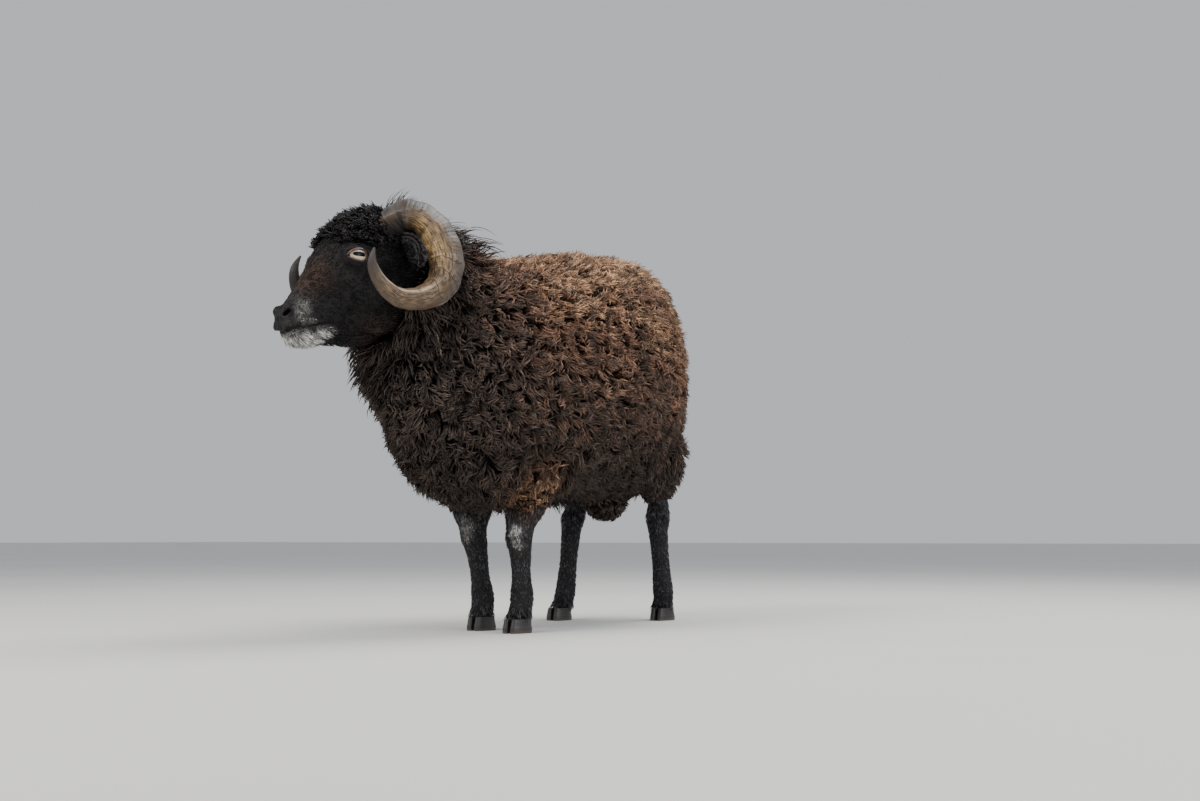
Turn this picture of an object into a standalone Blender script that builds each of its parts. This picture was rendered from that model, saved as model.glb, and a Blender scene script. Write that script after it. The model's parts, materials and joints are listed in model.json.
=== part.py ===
"""Ouessant ram, standing with its head turned a little to its right: a life-size still model.

Metres, +Z up. The ram faces -Y, and +X is its left. The origin is the middle of the box
round the whole ram, at the level of its soles. Places on the trunk and the legs are in the
trunk's frame, whose origin is on the floor under the trunk. Places on the head are in the
head's frame, written as how far forward, how far to the left and how high.
"""

import math
import random

import bmesh
import bpy
from mathutils import Matrix, Vector

# Driving sizes of the whole ram
TRUNK_AT = Vector((0.0, 0.1025, 0.0))  # the trunk's origin, from the middle of the ram's box
HEAD_AT = Vector((-0.020, -0.290, 0.0))  # the head's origin in the trunk's frame
HEAD_YAW = math.radians(-20)  # the head is turned to the ram's right
GAP = 0.0003  # between touching nodes
TINY = 0.00001  # shorter edges are merged after a cut or a union
DOWN = Vector((0.0, 0.0, -1.0))

# The trunk's sections from rump to poll, out to the tips of the coat:
# x, y and z of the middle, half width, height above it and height below it
TRUNK_ROWS = (
    (0.000, 0.226, 0.350, 0.035, 0.050, 0.050),
    (0.000, 0.214, 0.348, 0.068, 0.108, 0.110),
    (0.000, 0.190, 0.346, 0.093, 0.148, 0.150),
    (0.000, 0.150, 0.343, 0.118, 0.172, 0.172),
    (0.000, 0.080, 0.338, 0.146, 0.176, 0.172),
    (0.000, 0.000, 0.334, 0.158, 0.171, 0.170),
    (0.000, -0.070, 0.332, 0.158, 0.160, 0.170),
    (0.000, -0.130, 0.334, 0.151, 0.148, 0.189),
    (0.000, -0.182, 0.344, 0.139, 0.138, 0.198),
    (-0.005, -0.228, 0.366, 0.111, 0.120, 0.168),
    (-0.016, -0.262, 0.394, 0.088, 0.098, 0.136),
    (-0.030, -0.292, 0.419, 0.071, 0.078, 0.106),
    (-0.044, -0.318, 0.437, 0.058, 0.062, 0.088),
)
TRUNK_SQUARENESS = 2.2
FLEECE = 0.044  # depth of the coat on the trunk
CLUMP_PITCH = 0.093  # between the clumps of the fleece
MANE = 0.036  # depth of the mane on the neck
LOCK_LENGTH = 0.100
LOCK_WIDTH = 0.048
LOCK_THICK = 0.015
TOPKNOT = 0.012  # depth of the curls on the forehead
SHEATH_AT = Vector((0.0, -0.015, 0.172))  # the tuft of hair under the belly
NECK_TOP = Vector((0.0, -0.160, 0.500))  # the cut between torso and neck, at the withers
NECK_BREAST = Vector((0.0, -0.270, 0.200))  # and at the breast

# The head's sections from poll to nose: forward and height of the top, the same of the
# bottom, half width, how much wider the top is than the bottom, and squareness
HEAD_ROWS = (
    (0.000, 0.470, 0.030, 0.372, 0.038, 0.00, 2.0),
    (0.030, 0.494, 0.048, 0.352, 0.047, 0.10, 2.1),
    (0.062, 0.503, 0.070, 0.340, 0.052, 0.20, 2.2),
    (0.090, 0.499, 0.090, 0.335, 0.053, 0.25, 2.2),
    (0.112, 0.482, 0.106, 0.334, 0.050, 0.22, 2.1),
    (0.127, 0.461, 0.120, 0.334, 0.043, 0.15, 2.1),
    (0.138, 0.441, 0.132, 0.333, 0.035, 0.05, 2.1),
    (0.148, 0.424, 0.143, 0.331, 0.029, -0.05, 2.2),
    (0.158, 0.407, 0.152, 0.330, 0.025, -0.10, 2.3),
    (0.167, 0.393, 0.160, 0.331, 0.0230, -0.10, 2.3),
    (0.176, 0.380, 0.168, 0.335, 0.0215, -0.05, 2.3),
    (0.182, 0.371, 0.175, 0.341, 0.0185, 0.05, 2.2),
    (0.186, 0.363, 0.182, 0.350, 0.0110, 0.05, 2.0),
)
EYE_AT = (0.1116, 0.0403, 0.4327)
EYE_RADIUS = 0.0130
LID = 0.0024  # how thick the lids lie over the eyeball
LID_OPENING = (0.0118, 0.0066)  # half length and half height between the lids
NOSTRIL_AT = (0.1800, 0.0130, 0.3655)
NOSTRIL_SIZE = (0.0070, 0.0024, 0.0070)  # half length, half width and depth
MOUTH_AT = (0.1480, 0.3440)  # forward and height of the middle of the mouth's curve
MOUTH_SIZE = (0.0370, 0.0225)  # how far it reaches ahead and to the sides
MOUTH_RISE = 0.0130  # how much higher the corners lie than the front

# The horn from root to tip: forward, left, height, half thickness from the middle of the curl
# outwards, and half thickness sideways
HORN_ROWS = (
    (0.0660, 0.0180, 0.4550, 0.0200, 0.0170),
    (0.0620, 0.0320, 0.4740, 0.0220, 0.0185),
    (0.0480, 0.0500, 0.4855, 0.0225, 0.0185),
    (0.0225, 0.0670, 0.4710, 0.0225, 0.0180),
    (0.0110, 0.0780, 0.4370, 0.0225, 0.0165),
    (0.0220, 0.0850, 0.4040, 0.0185, 0.0145),
    (0.0505, 0.0880, 0.3855, 0.0138, 0.0125),
    (0.0830, 0.0900, 0.3825, 0.0112, 0.0100),
    (0.1080, 0.0915, 0.3965, 0.0085, 0.0080),
    (0.1200, 0.0930, 0.4160, 0.0055, 0.0055),
    (0.1180, 0.0945, 0.4340, 0.0010, 0.0012),
)
HORN_CURL = (0.0730, 0.4330)  # forward and height of the middle of the curl
HORN_EXTRA_TURN = {1: 0.0, -1: math.radians(-22)}  # the right horn curls a little further
HORN_SPLAY = {1: 1.0, -1: 0.86}  # and stands closer to the face
HORN_START = 0.9  # the row, inside the head, that the horn grows from
HORN_PINCH = 0.45  # how much thinner the inner side of its first bend is
HORN_SIDES = 10
HORN_RINGS = 34  # every other one is a ridge
HORN_RIDGE = 0.08  # how far the ridges stand out at the root, as a share of the half thickness

EAR_ROOT = (0.0500, 0.0350, 0.4560)
EAR_TIP = (0.0660, 0.0985, 0.4290)
EAR_WIDTH = 0.034
EAR_WALL = 0.0036
EAR_OPEN_TO = (0.90, 0.00, -0.40)  # the side that the cup of the ear looks to

# Each leg's foot, its carpus or hock, and its top, as x and y on the floor's plan
LEGS = {
    "front_leg_left": ((0.049, -0.170), (0.046, -0.166), (0.062, -0.135)),
    "front_leg_right": ((-0.021, -0.146), (-0.034, -0.149), (-0.062, -0.135)),
    "hind_leg_left": ((0.066, 0.172), (0.056, 0.163), (0.062, 0.130)),
    "hind_leg_right": ((-0.060, 0.100), (-0.063, 0.134), (-0.064, 0.125)),
}
LEG_TOP = 0.250
CARPUS = 0.120
HOCK = 0.163
CORONET = 0.0175
# A leg's sections from its top to the coronet: height, half width, depth to the front and to
# the back, and how far the section lies behind the line through foot, joint and top
FRONT_ROWS = (
    (0.250, 0.040, 0.044, 0.048, 0.000),
    (0.215, 0.040, 0.045, 0.050, 0.000),
    (0.180, 0.035, 0.040, 0.044, 0.000),
    (0.152, 0.027, 0.030, 0.032, -0.002),
    (0.130, 0.0195, 0.0200, 0.0205, -0.003),
    (0.113, 0.0180, 0.0190, 0.0185, -0.003),
    (0.097, 0.0150, 0.0155, 0.0165, 0.000),
    (0.070, 0.0130, 0.0135, 0.0155, 0.002),
    (0.050, 0.0150, 0.0150, 0.0180, 0.003),
    (0.038, 0.0160, 0.0155, 0.0180, 0.003),
    (0.027, 0.0155, 0.0150, 0.0165, 0.000),
    (CORONET, 0.0165, 0.0170, 0.0180, -0.004),
)
HIND_ROWS = (
    (0.250, 0.048, 0.056, 0.050, 0.005),
    (0.225, 0.046, 0.054, 0.048, 0.008),
    (0.200, 0.036, 0.043, 0.039, 0.012),
    (0.180, 0.026, 0.030, 0.029, 0.012),
    (0.163, 0.0205, 0.0225, 0.0250, 0.010),
    (0.145, 0.0185, 0.0195, 0.0205, 0.006),
    (0.120, 0.0150, 0.0160, 0.0165, 0.004),
    (0.080, 0.0135, 0.0145, 0.0155, 0.004),
    (0.052, 0.0150, 0.0155, 0.0180, 0.003),
    (0.038, 0.0160, 0.0155, 0.0180, 0.003),
    (0.027, 0.0155, 0.0150, 0.0165, 0.000),
    (CORONET, 0.0165, 0.0170, 0.0180, -0.004),
)
CLAW_LENGTH = 0.039
CLAW_WIDTH = 0.0165
CLAW_AHEAD = 0.0075  # the middle of a claw, ahead of the foot's place
DEWCLAW_Z = 0.038  # height of the dewclaws behind the fetlock
DEWCLAW = (0.0048, 0.0062, 0.0060)  # their half width, half height and half depth

TAIL_ROWS = (
    (0.0, 0.180, 0.440, 0.028, 0.024, 0.024),
    (0.0, 0.212, 0.426, 0.030, 0.025, 0.025),
    (0.0, 0.234, 0.392, 0.029, 0.023, 0.023),
    (0.0, 0.243, 0.347, 0.026, 0.020, 0.020),
    (0.0, 0.245, 0.307, 0.019, 0.015, 0.015),
    (0.0, 0.244, 0.282, 0.006, 0.006, 0.006),
)
SCROTUM_ROWS = (
    (0.0, 0.112, 0.230, 0.026, 0.026, 0.026),
    (0.0, 0.116, 0.195, 0.030, 0.029, 0.029),
    (0.0, 0.120, 0.172, 0.032, 0.031, 0.031),
    (0.0, 0.122, 0.156, 0.024, 0.024, 0.024),
    (0.0, 0.122, 0.149, 0.008, 0.008, 0.008),
)

# Materials: name, colour and roughness
FLEECE_BROWN = ("fleece_brown", (0.060, 0.034, 0.024), 0.92)
MANE_BLACK = ("mane_black", (0.016, 0.013, 0.013), 0.85)
HAIR_BLACK = ("hair_black", (0.018, 0.016, 0.018), 0.60)
HORN_BROWN = ("horn_brown", (0.300, 0.220, 0.140), 0.45)
EYE_CREAM = ("eye_cream", (0.750, 0.660, 0.480), 0.10)
CLAW_BLACK = ("claw_black", (0.025, 0.022, 0.022), 0.40)


def head_point(forward, left, height):
    return Vector((left, -forward, height))


def between(rows, at):
    """The row at this place, counted in rows, on a smooth curve through them."""
    i = min(int(at), len(rows) - 2)
    u = at - i
    four = (rows[max(i - 1, 0)], rows[i], rows[i + 1], rows[min(i + 2, len(rows) - 1)])
    return [
        q + 0.5 * u * (r - p + u * (2 * p - 5 * q + 4 * r - s + u * (3 * q - p - 3 * r + s)))
        for p, q, r, s in zip(*four)
    ]


def rounded(turn, squareness):
    """Side and height at this turn of an outline of half size 1, a circle at squareness 2."""
    c, s = math.cos(turn), math.sin(turn)
    power = 2 / squareness
    return math.copysign(abs(c) ** power, c), math.copysign(abs(s) ** power, s)


def spread(first, last, count):
    """This many even steps from first to last."""
    return [first + (last - first) * k / (count - 1) for k in range(count)]


class Limb:
    """A form with rounded sections along a line. Each row holds its middle and half sizes."""

    def __init__(self, rows, up, squareness=2.1, along=None):
        self.rows = rows
        self.up = Vector(up)
        self.squareness = squareness
        self.along = along  # every section's direction, or None for the line's own
        self.end = len(rows) - 1

    def frame(self, at):
        """The middle of the section at this place, its side and its up."""
        back = Vector(between(self.rows, max(at - 0.05, 0.0))[:3])
        ahead = Vector(between(self.rows, min(at + 0.05, self.end))[:3])
        along = self.along or (ahead - back).normalized()
        side = along.cross(self.up).normalized()
        return Vector(between(self.rows, at)[:3]), side, side.cross(along)

    def point(self, at, turn, grow=0.0):
        """A point of the surface, or of one this far outside it."""
        middle, side, up = self.frame(at)
        width, above, below = between(self.rows, at)[3:6]
        x, y = rounded(turn, self.squareness)
        height = above if y > 0 else below
        return middle + side * (x * (width + grow)) + up * (y * (height + grow))

    def normal(self, at, turn):
        """The outward direction of the surface."""
        along = self.point(min(at + 0.1, self.end), turn) - self.point(max(at - 0.1, 0), turn)
        around = self.point(at, turn + 0.1) - self.point(at, turn - 0.1)
        out = around.cross(along).normalized()
        return out if out.dot(self.point(at, turn) - self.frame(at)[0]) > 0 else -out

    def stepped(self, at, turn, towards, length):
        """The place this far along the surface, in the direction that comes closest to towards."""
        along = (self.point(at + 0.05, turn) - self.point(at - 0.05, turn)) / 0.1
        around = (self.point(at, turn + 0.05) - self.point(at, turn - 0.05)) / 0.1
        out = self.normal(at, turn)
        way = (towards - out * towards.dot(out)).normalized() * length
        m = Matrix(((along.dot(along), along.dot(around)), (along.dot(around), around.dot(around))))
        da, dt = m.inverted_safe() @ Vector((way.dot(along), way.dot(around)))
        return min(max(at + da, 0.1), self.end - 0.1), turn + dt

    def rings(self, first, last, count, sides, grow=0.0):
        turns = [2 * math.pi * k / sides for k in range(sides)]
        return [[self.point(at, turn, grow) for turn in turns] for at in spread(first, last, count)]


class Head(Limb):
    """The head, whose rows give the top and the bottom of each section."""

    def __init__(self):
        super().__init__(HEAD_ROWS, (0, 0, 1))

    def point(self, at, turn, grow=0.0):
        row = between(self.rows, at)
        top, low = head_point(row[0], 0, row[1]), head_point(row[2], 0, row[3])
        width, lean, squareness = row[4:7]
        x, y = rounded(turn, squareness)
        side = Vector((x * (width + grow) * (1 + lean * y), 0, 0))
        return (top + low) / 2 + side + (top - low).normalized() * (y * ((top - low).length / 2 + grow))


TRUNK = Limb(TRUNK_ROWS, (0, 0, 1), TRUNK_SQUARENESS)
TAIL = Limb(TAIL_ROWS, (0, 1, 0))
SCROTUM = Limb(SCROTUM_ROWS, (0, -1, 0))
HEAD = Head()


def leg_limb(name):
    """The form of a leg, along the line through its top, its carpus or hock, and its foot."""
    foot, joint, top = LEGS[name]
    rows, joint_z = (HIND_ROWS, HOCK) if name.startswith("hind") else (FRONT_ROWS, CARPUS)
    placed = []
    for z, width, front, back, behind in rows:
        if z > joint_z:
            share, low, high = (z - joint_z) / (LEG_TOP - joint_z), joint, top
        else:
            share, low, high = z / joint_z, foot, joint
        x = low[0] + (high[0] - low[0]) * share
        y = low[1] + (high[1] - low[1]) * share + behind
        placed.append((x, y, z, width, front, back))
    return Limb(placed, (0, -1, 0), along=Vector((0, 0, -1)))


def new_object(name, made, collection, parent):
    """An object of this bmesh in flat triangles that face out, in the frame of its parent."""
    bmesh.ops.triangulate(made, faces=made.faces)
    bmesh.ops.recalc_face_normals(made, faces=made.faces)
    mesh = bpy.data.meshes.new(name)
    made.to_mesh(mesh)
    made.free()
    obj = bpy.data.objects.new(name, mesh)
    obj.parent = parent
    collection.objects.link(obj)
    return obj


def loft(name, rings, collection, parent):
    """A closed body through rings of points, with a fan of faces at each end."""
    made = bmesh.new()
    loops = [[made.verts.new(p) for p in ring] for ring in rings]
    for a, b in zip(loops, loops[1:]):
        for k in range(len(a)):
            j = (k + 1) % len(a)
            made.faces.new((a[k], a[j], b[j], b[k]))
    for loop in (loops[0], loops[-1]):
        middle = made.verts.new(sum((v.co for v in loop), Vector()) / len(loop))
        for k in range(len(loop)):
            made.faces.new((loop[k], loop[(k + 1) % len(loop)], middle))
    bmesh.ops.remove_doubles(made, verts=made.verts, dist=1e-6)
    return new_object(name, made, collection, parent)


def boolean(obj, operation, others):
    """Joins all the objects of a collection to obj, or cuts them out of it."""
    modifier = obj.modifiers.new(operation.lower(), "BOOLEAN")
    modifier.operation = operation
    modifier.operand_type = "COLLECTION"
    modifier.collection = others
    graph = bpy.context.evaluated_depsgraph_get()
    obj.data = bpy.data.meshes.new_from_object(obj.evaluated_get(graph))
    obj.modifiers.clear()


def pieces(made):
    """The faces of each closed surface of a bmesh."""
    found, seen = [], set()
    for start in made.faces:
        if start in seen:
            continue
        seen.add(start)
        group, queue = [], [start]
        while queue:
            face = queue.pop()
            group.append(face)
            for edge in face.edges:
                if len(edge.link_faces) == 2:
                    fresh = [other for other in edge.link_faces if other not in seen]
                    seen.update(fresh)
                    queue.extend(fresh)
        found.append(group)
    return found


def keep_largest(obj, tidy):
    """Leaves only the largest closed surface of a node, with its shortest edges merged if tidy."""
    made = bmesh.new()
    made.from_mesh(obj.data)
    if tidy:
        bmesh.ops.triangulate(made, faces=made.faces)
        bmesh.ops.remove_doubles(made, verts=made.verts, dist=TINY)
    groups = sorted(pieces(made), key=extent)
    loose = [face for group in groups[:-1] for face in group]
    bmesh.ops.delete(made, geom=loose, context="FACES")
    bare = [vert for vert in made.verts if not vert.link_faces]
    bmesh.ops.delete(made, geom=bare, context="VERTS")
    bare = [edge for edge in made.edges if not edge.link_faces]
    bmesh.ops.delete(made, geom=bare, context="EDGES")
    made.to_mesh(obj.data)
    made.free()


def extent(group):
    """The diagonal of the box round these faces."""
    points = [vert.co for face in group for vert in face.verts]
    low = [min(point[i] for point in points) for i in range(3)]
    high = [max(point[i] for point in points) for i in range(3)]
    return math.dist(low, high)


class Workshop:
    """The collections and frames that the pieces are made in."""

    def __init__(self):
        for obj in list(bpy.data.objects):
            bpy.data.objects.remove(obj)
        self.parts = self.collection("ouessant_ram")
        self.cutters = self.collection("cutters")
        self.body = self.empty("body_frame", None, TRUNK_AT)
        self.head = self.empty("head_frame", self.body, HEAD_AT)
        self.head.rotation_euler.z = HEAD_YAW

    def collection(self, name):
        made = bpy.data.collections.new(name)
        bpy.context.scene.collection.children.link(made)
        return made

    def empty(self, name, parent, at):
        made = bpy.data.objects.new(name, None)
        made.location = at
        made.parent = parent
        self.parts.objects.link(made)
        return made

    def apply(self, operation, obj, makers):
        """Applies one Boolean with the pieces that the makers make in the collection given."""
        for maker in makers:
            maker(self.cutters)
        if self.cutters.objects:
            boolean(obj, operation, self.cutters)
        for cutter in list(self.cutters.objects):
            bpy.data.objects.remove(cutter)
        keep_largest(obj, operation == "DIFFERENCE")

    def join(self, obj, *makers):
        self.apply("UNION", obj, makers)

    def cut(self, obj, *makers):
        self.apply("DIFFERENCE", obj, makers)


def make_clump(at, out, lie, sizes, collection, parent, sides=6, levels=4):
    """A rounded clump whose half sizes are across the lie, along it and outwards."""
    made = bmesh.new()
    bmesh.ops.create_uvsphere(made, u_segments=sides, v_segments=levels, radius=1.0)
    across = lie.cross(out).normalized()
    along = out.cross(across)
    turned = Matrix((across, along, out)).transposed().to_4x4()
    made.transform(Matrix.Translation(at) @ turned @ Matrix.Diagonal((*sizes, 1)))
    return new_object("clump", made, collection, parent)


def make_lock(line, outs, width, thick, collection, parent):
    """A flat lock along this line, widest a third of the way down and pointed at its tip."""
    rings = []
    last = len(line) - 1
    for k in range(last):
        share = k / last
        swell = (0.80 + 0.55 * share) * (1 - share**2) + 0.02
        along = (line[min(k + 1, last)] - line[max(k - 1, 0)]).normalized()
        side = outs[k].cross(along).normalized() * (width / 2 * swell)
        up = along.cross(side).normalized() * (thick / 2 * swell)
        if up.dot(outs[k]) < 0:
            up.negate()
        rings.append([line[k] + side, line[k] + up, line[k] - side, line[k] - up])
    return loft("lock", rings + [[line[last]] * 4], collection, parent)


def half_space(name, on, towards, collection, parent):
    """A block that fills the space from a plane through on, on the side that towards points to."""
    made = bmesh.new()
    bmesh.ops.create_cube(made, size=1.0)
    turned = towards.to_track_quat("Z", "Y").to_matrix().to_4x4()
    made.transform(Matrix.Translation(on) @ turned @ Matrix.Translation((0, 0, 0.5)))
    return new_object(name, made, collection, parent)


def neck_plane():
    """A point of the cut between torso and neck, and its direction towards the neck."""
    across = (NECK_BREAST - NECK_TOP).cross(Vector((1, 0, 0))).normalized()
    return (NECK_TOP + NECK_BREAST) / 2, across


def make_ball(name, shop, side, radius, twist, collection):
    """A ball round the middle of an eye, whose poles point sideways."""
    made = bmesh.new()
    bmesh.ops.create_uvsphere(made, u_segments=12, v_segments=6, radius=radius)
    forward, left, height = EYE_AT
    turned = Matrix.Rotation(math.radians(90 + twist), 4, "Y") @ Matrix.Rotation(math.radians(twist), 4, "Z")
    made.transform(Matrix.Translation(head_point(forward, left * side, height)) @ turned)
    return new_object(name, made, collection, shop.head)


def make_eye(shop, side, collection, grow=0.0):
    return make_ball("eye", shop, side, EYE_RADIUS + grow, 0, collection)


def horn_middle(at, side):
    """A place on the middle line of a horn, as if it were the left one."""
    at = min(max(at, 0.0), len(HORN_ROWS) - 1)
    share = at / (len(HORN_ROWS) - 1)
    curl = head_point(HORN_CURL[0], 0, HORN_CURL[1])
    turned = Matrix.Rotation(HORN_EXTRA_TURN[side] * share**2, 3, "X")
    middle = curl + turned @ (head_point(*between(HORN_ROWS, at)[:3]) - curl)
    middle.x *= 1 + (HORN_SPLAY[side] - 1) * share
    return middle


def make_horn(shop, side, collection, grow=0.0):
    """A horn, with low ridges across it that fade towards its tip."""
    rings = []
    for k in range(HORN_RINGS):
        share = k / (HORN_RINGS - 1)
        at = HORN_START + share * (len(HORN_ROWS) - 1 - HORN_START)
        ridge = 1 + HORN_RIDGE * (k % 2 - 0.5) * (1 - share)
        thick, broad = (half * ridge for half in between(HORN_ROWS, at)[3:5])
        middle = horn_middle(at, side)
        along = (horn_middle(at + 0.05, side) - horn_middle(at - 0.05, side)).normalized()
        outward = middle - head_point(HORN_CURL[0], middle.x, HORN_CURL[1])
        outward = (outward - along * outward.dot(along)).normalized()
        across = along.cross(outward)
        if across.x < 0:
            across.negate()
        if k == 0:
            middle -= along * grow
        ring = []
        for j in range(HORN_SIDES):
            turn = 2 * math.pi * j / HORN_SIDES
            inner = 1 - HORN_PINCH * min(max(3.4 - at, 0), 1) if math.cos(turn) < 0 else 1
            out = math.cos(turn) * (thick + grow) * inner
            beside = math.sin(turn) * (broad + grow) * (1 - 0.25 * math.cos(turn))
            point = middle + outward * out + across * beside
            ring.append(Vector((point.x * side, point.y, point.z)))
        rings.append(ring)
    return loft("horn", rings, collection, shop.head)


def make_ear(shop, side, collection):
    """A leaf with a wall of one thickness, rolled to a cup where it grows from the head."""
    made = bmesh.new()
    root, tip = head_point(*EAR_ROOT), head_point(*EAR_TIP)
    axis = (tip - root).normalized()
    open_to = head_point(*EAR_OPEN_TO)
    open_to = (open_to - axis * open_to.dot(axis)).normalized()
    across = axis.cross(open_to)
    grid = []
    for share in spread(0, 1, 9):
        half = EAR_WIDTH / 2 * math.sin(math.pi * (0.15 + 0.80 * share)) ** 0.8
        bend = math.radians(170 - 110 * share)
        radius = 1.3 * half / bend
        line = []
        for turn in spread(-bend / 2, bend / 2, 7):
            point = root + axis * (tip - root).length * share + across * (radius * math.sin(turn) * 1.5)
            point -= open_to * (radius * math.cos(turn))
            line.append(made.verts.new((point.x * side, point.y, point.z)))
        grid.append(line)
    for a, b in zip(grid, grid[1:]):
        for j in range(len(a) - 1):
            made.faces.new((a[j], a[j + 1], b[j + 1], b[j]))
    ear = new_object("ear", made, collection, shop.head)
    wall = ear.modifiers.new("wall", "SOLIDIFY")
    wall.thickness = EAR_WALL
    wall.offset = 0
    shop.cut(
        ear,
        lambda to: make_head(shop, to, GAP),
        lambda to: make_horn(shop, side, to, 2 * GAP),
    )
    return ear


def make_head(shop, collection, grow=0.0):
    return loft("head", HEAD.rings(0, HEAD.end, 19, 18, grow), collection, shop.head)


def topknot(shop, collection):
    """Small curls over the forehead, between the horns and the eyes."""
    rng = random.Random("topknot")
    for row, forward in enumerate(spread(0.036, 0.106, 4)):
        for left in spread(-0.030, 0.030, 4):
            left += 0.010 * (row % 2 - 0.5)
            at = 2.0 + (forward - 0.062) / 0.026
            turn = math.acos(max(-0.95, min(0.95, left / 0.052)))
            out = HEAD.normal(at, turn)
            size = 0.0165 * rng.uniform(0.9, 1.1)
            middle = HEAD.point(at, turn, -TOPKNOT * rng.uniform(0.55, 0.75))
            sizes = (size, size, TOPKNOT)
            make_clump(middle, out, Vector((0, -1, -0.3)), sizes, collection, shop.head, levels=3)


def make_lids(shop, side):
    """A ball a lid's thickness larger than the eye, with the opening between the lids in it."""
    lids = make_ball("lids", shop, side, EYE_RADIUS + LID, 11, shop.parts)
    shop.cut(lids, lambda to: lid_opening(shop, side, to))
    return lids


def move(obj, old, new):
    old.objects.unlink(obj)
    new.objects.link(obj)


def lens(shop, at, axes, sizes, collection):
    """A flattened ball whose half sizes lie along these three axes."""
    made = bmesh.new()
    bmesh.ops.create_uvsphere(made, u_segments=8, v_segments=5, radius=1.0)
    turned = Matrix(axes).transposed().to_4x4()
    made.transform(Matrix.Translation(at) @ turned @ Matrix.Diagonal((*sizes, 1)))
    return new_object("lens", made, collection, shop.head)


def lid_opening(shop, side, collection):
    forward, left, height = EYE_AT
    at = head_point(forward, (left + EYE_RADIUS) * side, height)
    tilt = math.radians(4)
    along = Vector((0, math.cos(tilt), -math.sin(tilt)))
    axes = (along, Vector((1, 0, 0)).cross(along), Vector((1, 0, 0)))
    return lens(shop, at, axes, (*LID_OPENING, 0.008), collection)


def nostril(shop, side, collection):
    """A slit that rises to the back, cut into the side of the muzzle."""
    forward, left, height = NOSTRIL_AT
    slit = head_point(-0.80, 0.0, 0.60).normalized()
    inward = head_point(-0.45, -0.90 * side, 0.0)
    inward = (inward - slit * inward.dot(slit)).normalized()
    across = slit.cross(inward)
    length, width, depth = NOSTRIL_SIZE
    at = head_point(forward, left * side, height)
    return lens(shop, at, (slit, across, inward), (length, width, depth), collection)


def mouth(shop, collection):
    """A thin curved wedge round the front of the muzzle, from corner to corner."""
    rings = []
    for turn in spread(math.radians(-112), math.radians(112), 13):
        height = MOUTH_AT[1] + MOUTH_RISE * abs(turn / math.radians(112)) ** 1.4
        open_by = 0.0011 * (1.1 - abs(turn / math.radians(112)) ** 2)
        ring = []
        for reach, lift in ((0.80, -0.3), (1.25, -1.0), (1.25, 1.0), (0.80, 0.3)):
            ahead = MOUTH_AT[0] + math.cos(turn) * MOUTH_SIZE[0] * reach
            beside = math.sin(turn) * MOUTH_SIZE[1] * reach
            ring.append(head_point(ahead, beside, height + open_by * lift))
        rings.append(ring)
    return loft("mouth", rings, collection, shop.head)


def build_head(shop):
    head = make_head(shop, shop.parts)
    both = (1, -1)
    lids = [make_lids(shop, side) for side in both]
    shop.join(head, lambda to: topknot(shop, to), *(lambda to, lid=lid: move(lid, shop.parts, to) for lid in lids))
    shop.cut(head, *(lambda to, s=s: make_horn(shop, s, to, 2 * GAP) for s in both))
    shop.cut(head, *(lambda to, s=s: nostril(shop, s, to) for s in both))
    shop.cut(head, *(lambda to, s=s: make_eye(shop, s, to, GAP) for s in both))
    shop.cut(head, lambda to: mouth(shop, to))
    paint(head, HAIR_BLACK)


def make_limb(shop, name, limb, count, sides, collection, grow=0.0):
    """A limb, whose far end stays at its level when it grows."""
    return loft(name, limb.rings(0, limb.end, count, sides, grow), collection, shop.body)


def rows_along(limb, first, last, pitch, turn=0.0):
    """Places along a limb that lie about this far apart on its surface."""
    found, gone = [first], 0.0
    fine = spread(first, last, 200)
    for a, b in zip(fine, fine[1:]):
        gone += (limb.point(b, turn) - limb.point(a, turn)).length
        if gone >= pitch:
            found.append(b)
            gone = 0.0
    return found


def turns_round(limb, at, pitch, start):
    """Turns round one section of a limb that lie about this far apart."""
    points = [limb.point(at, 2 * math.pi * k / 48) for k in range(48)]
    girth = sum((points[k] - points[k - 1]).length for k in range(48))
    count = max(round(girth / pitch), 3)
    return [2 * math.pi * (k + start) / count for k in range(count)]


def clump_on(shop, limb, at, turn, pitch, depth, rng, collection, grow=0.0):
    """One clump of wool whose tip reaches the limb's surface."""
    out = limb.normal(at, turn)
    lie = Vector((0.0, 0.4, -1.0)) if abs(out.z) < 0.9 else Vector((0.0, 1.0, 0.0))
    out = (out + 0.25 * (lie - out * lie.dot(out)).normalized()).normalized()
    deep = depth * rng.uniform(0.70, 0.84)
    across, along = (pitch * rng.uniform(0.60, 0.70) + grow for _ in range(2))
    middle = limb.point(at, turn, -deep)
    sides = 6 if pitch > 0.05 else 5
    make_clump(middle, out, lie, (across, along, deep + grow), collection, shop.body, sides, 3)


def fleece(shop, collection):
    """Clumps set close over the torso, row by row from the rump to the withers."""
    rng = random.Random("fleece")
    on, towards = neck_plane()
    for row, at in enumerate(rows_along(TRUNK, 0.4, 9.0, CLUMP_PITCH * 0.88)):
        for turn in turns_round(TRUNK, at, CLUMP_PITCH, row % 2 / 2):
            turn += rng.uniform(-0.05, 0.05)
            if (TRUNK.point(at, turn) - on).dot(towards) < 0.008:
                clump_on(shop, TRUNK, at, turn, CLUMP_PITCH, FLEECE, rng, collection)
    line = [SHEATH_AT + Vector((0.0, 0.004 * k, 0.012 - 0.010 * k)) for k in range(6)]
    make_lock(line, [Vector((1, 0, 0))] * 6, 0.034, 0.026, collection, shop.body)


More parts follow.
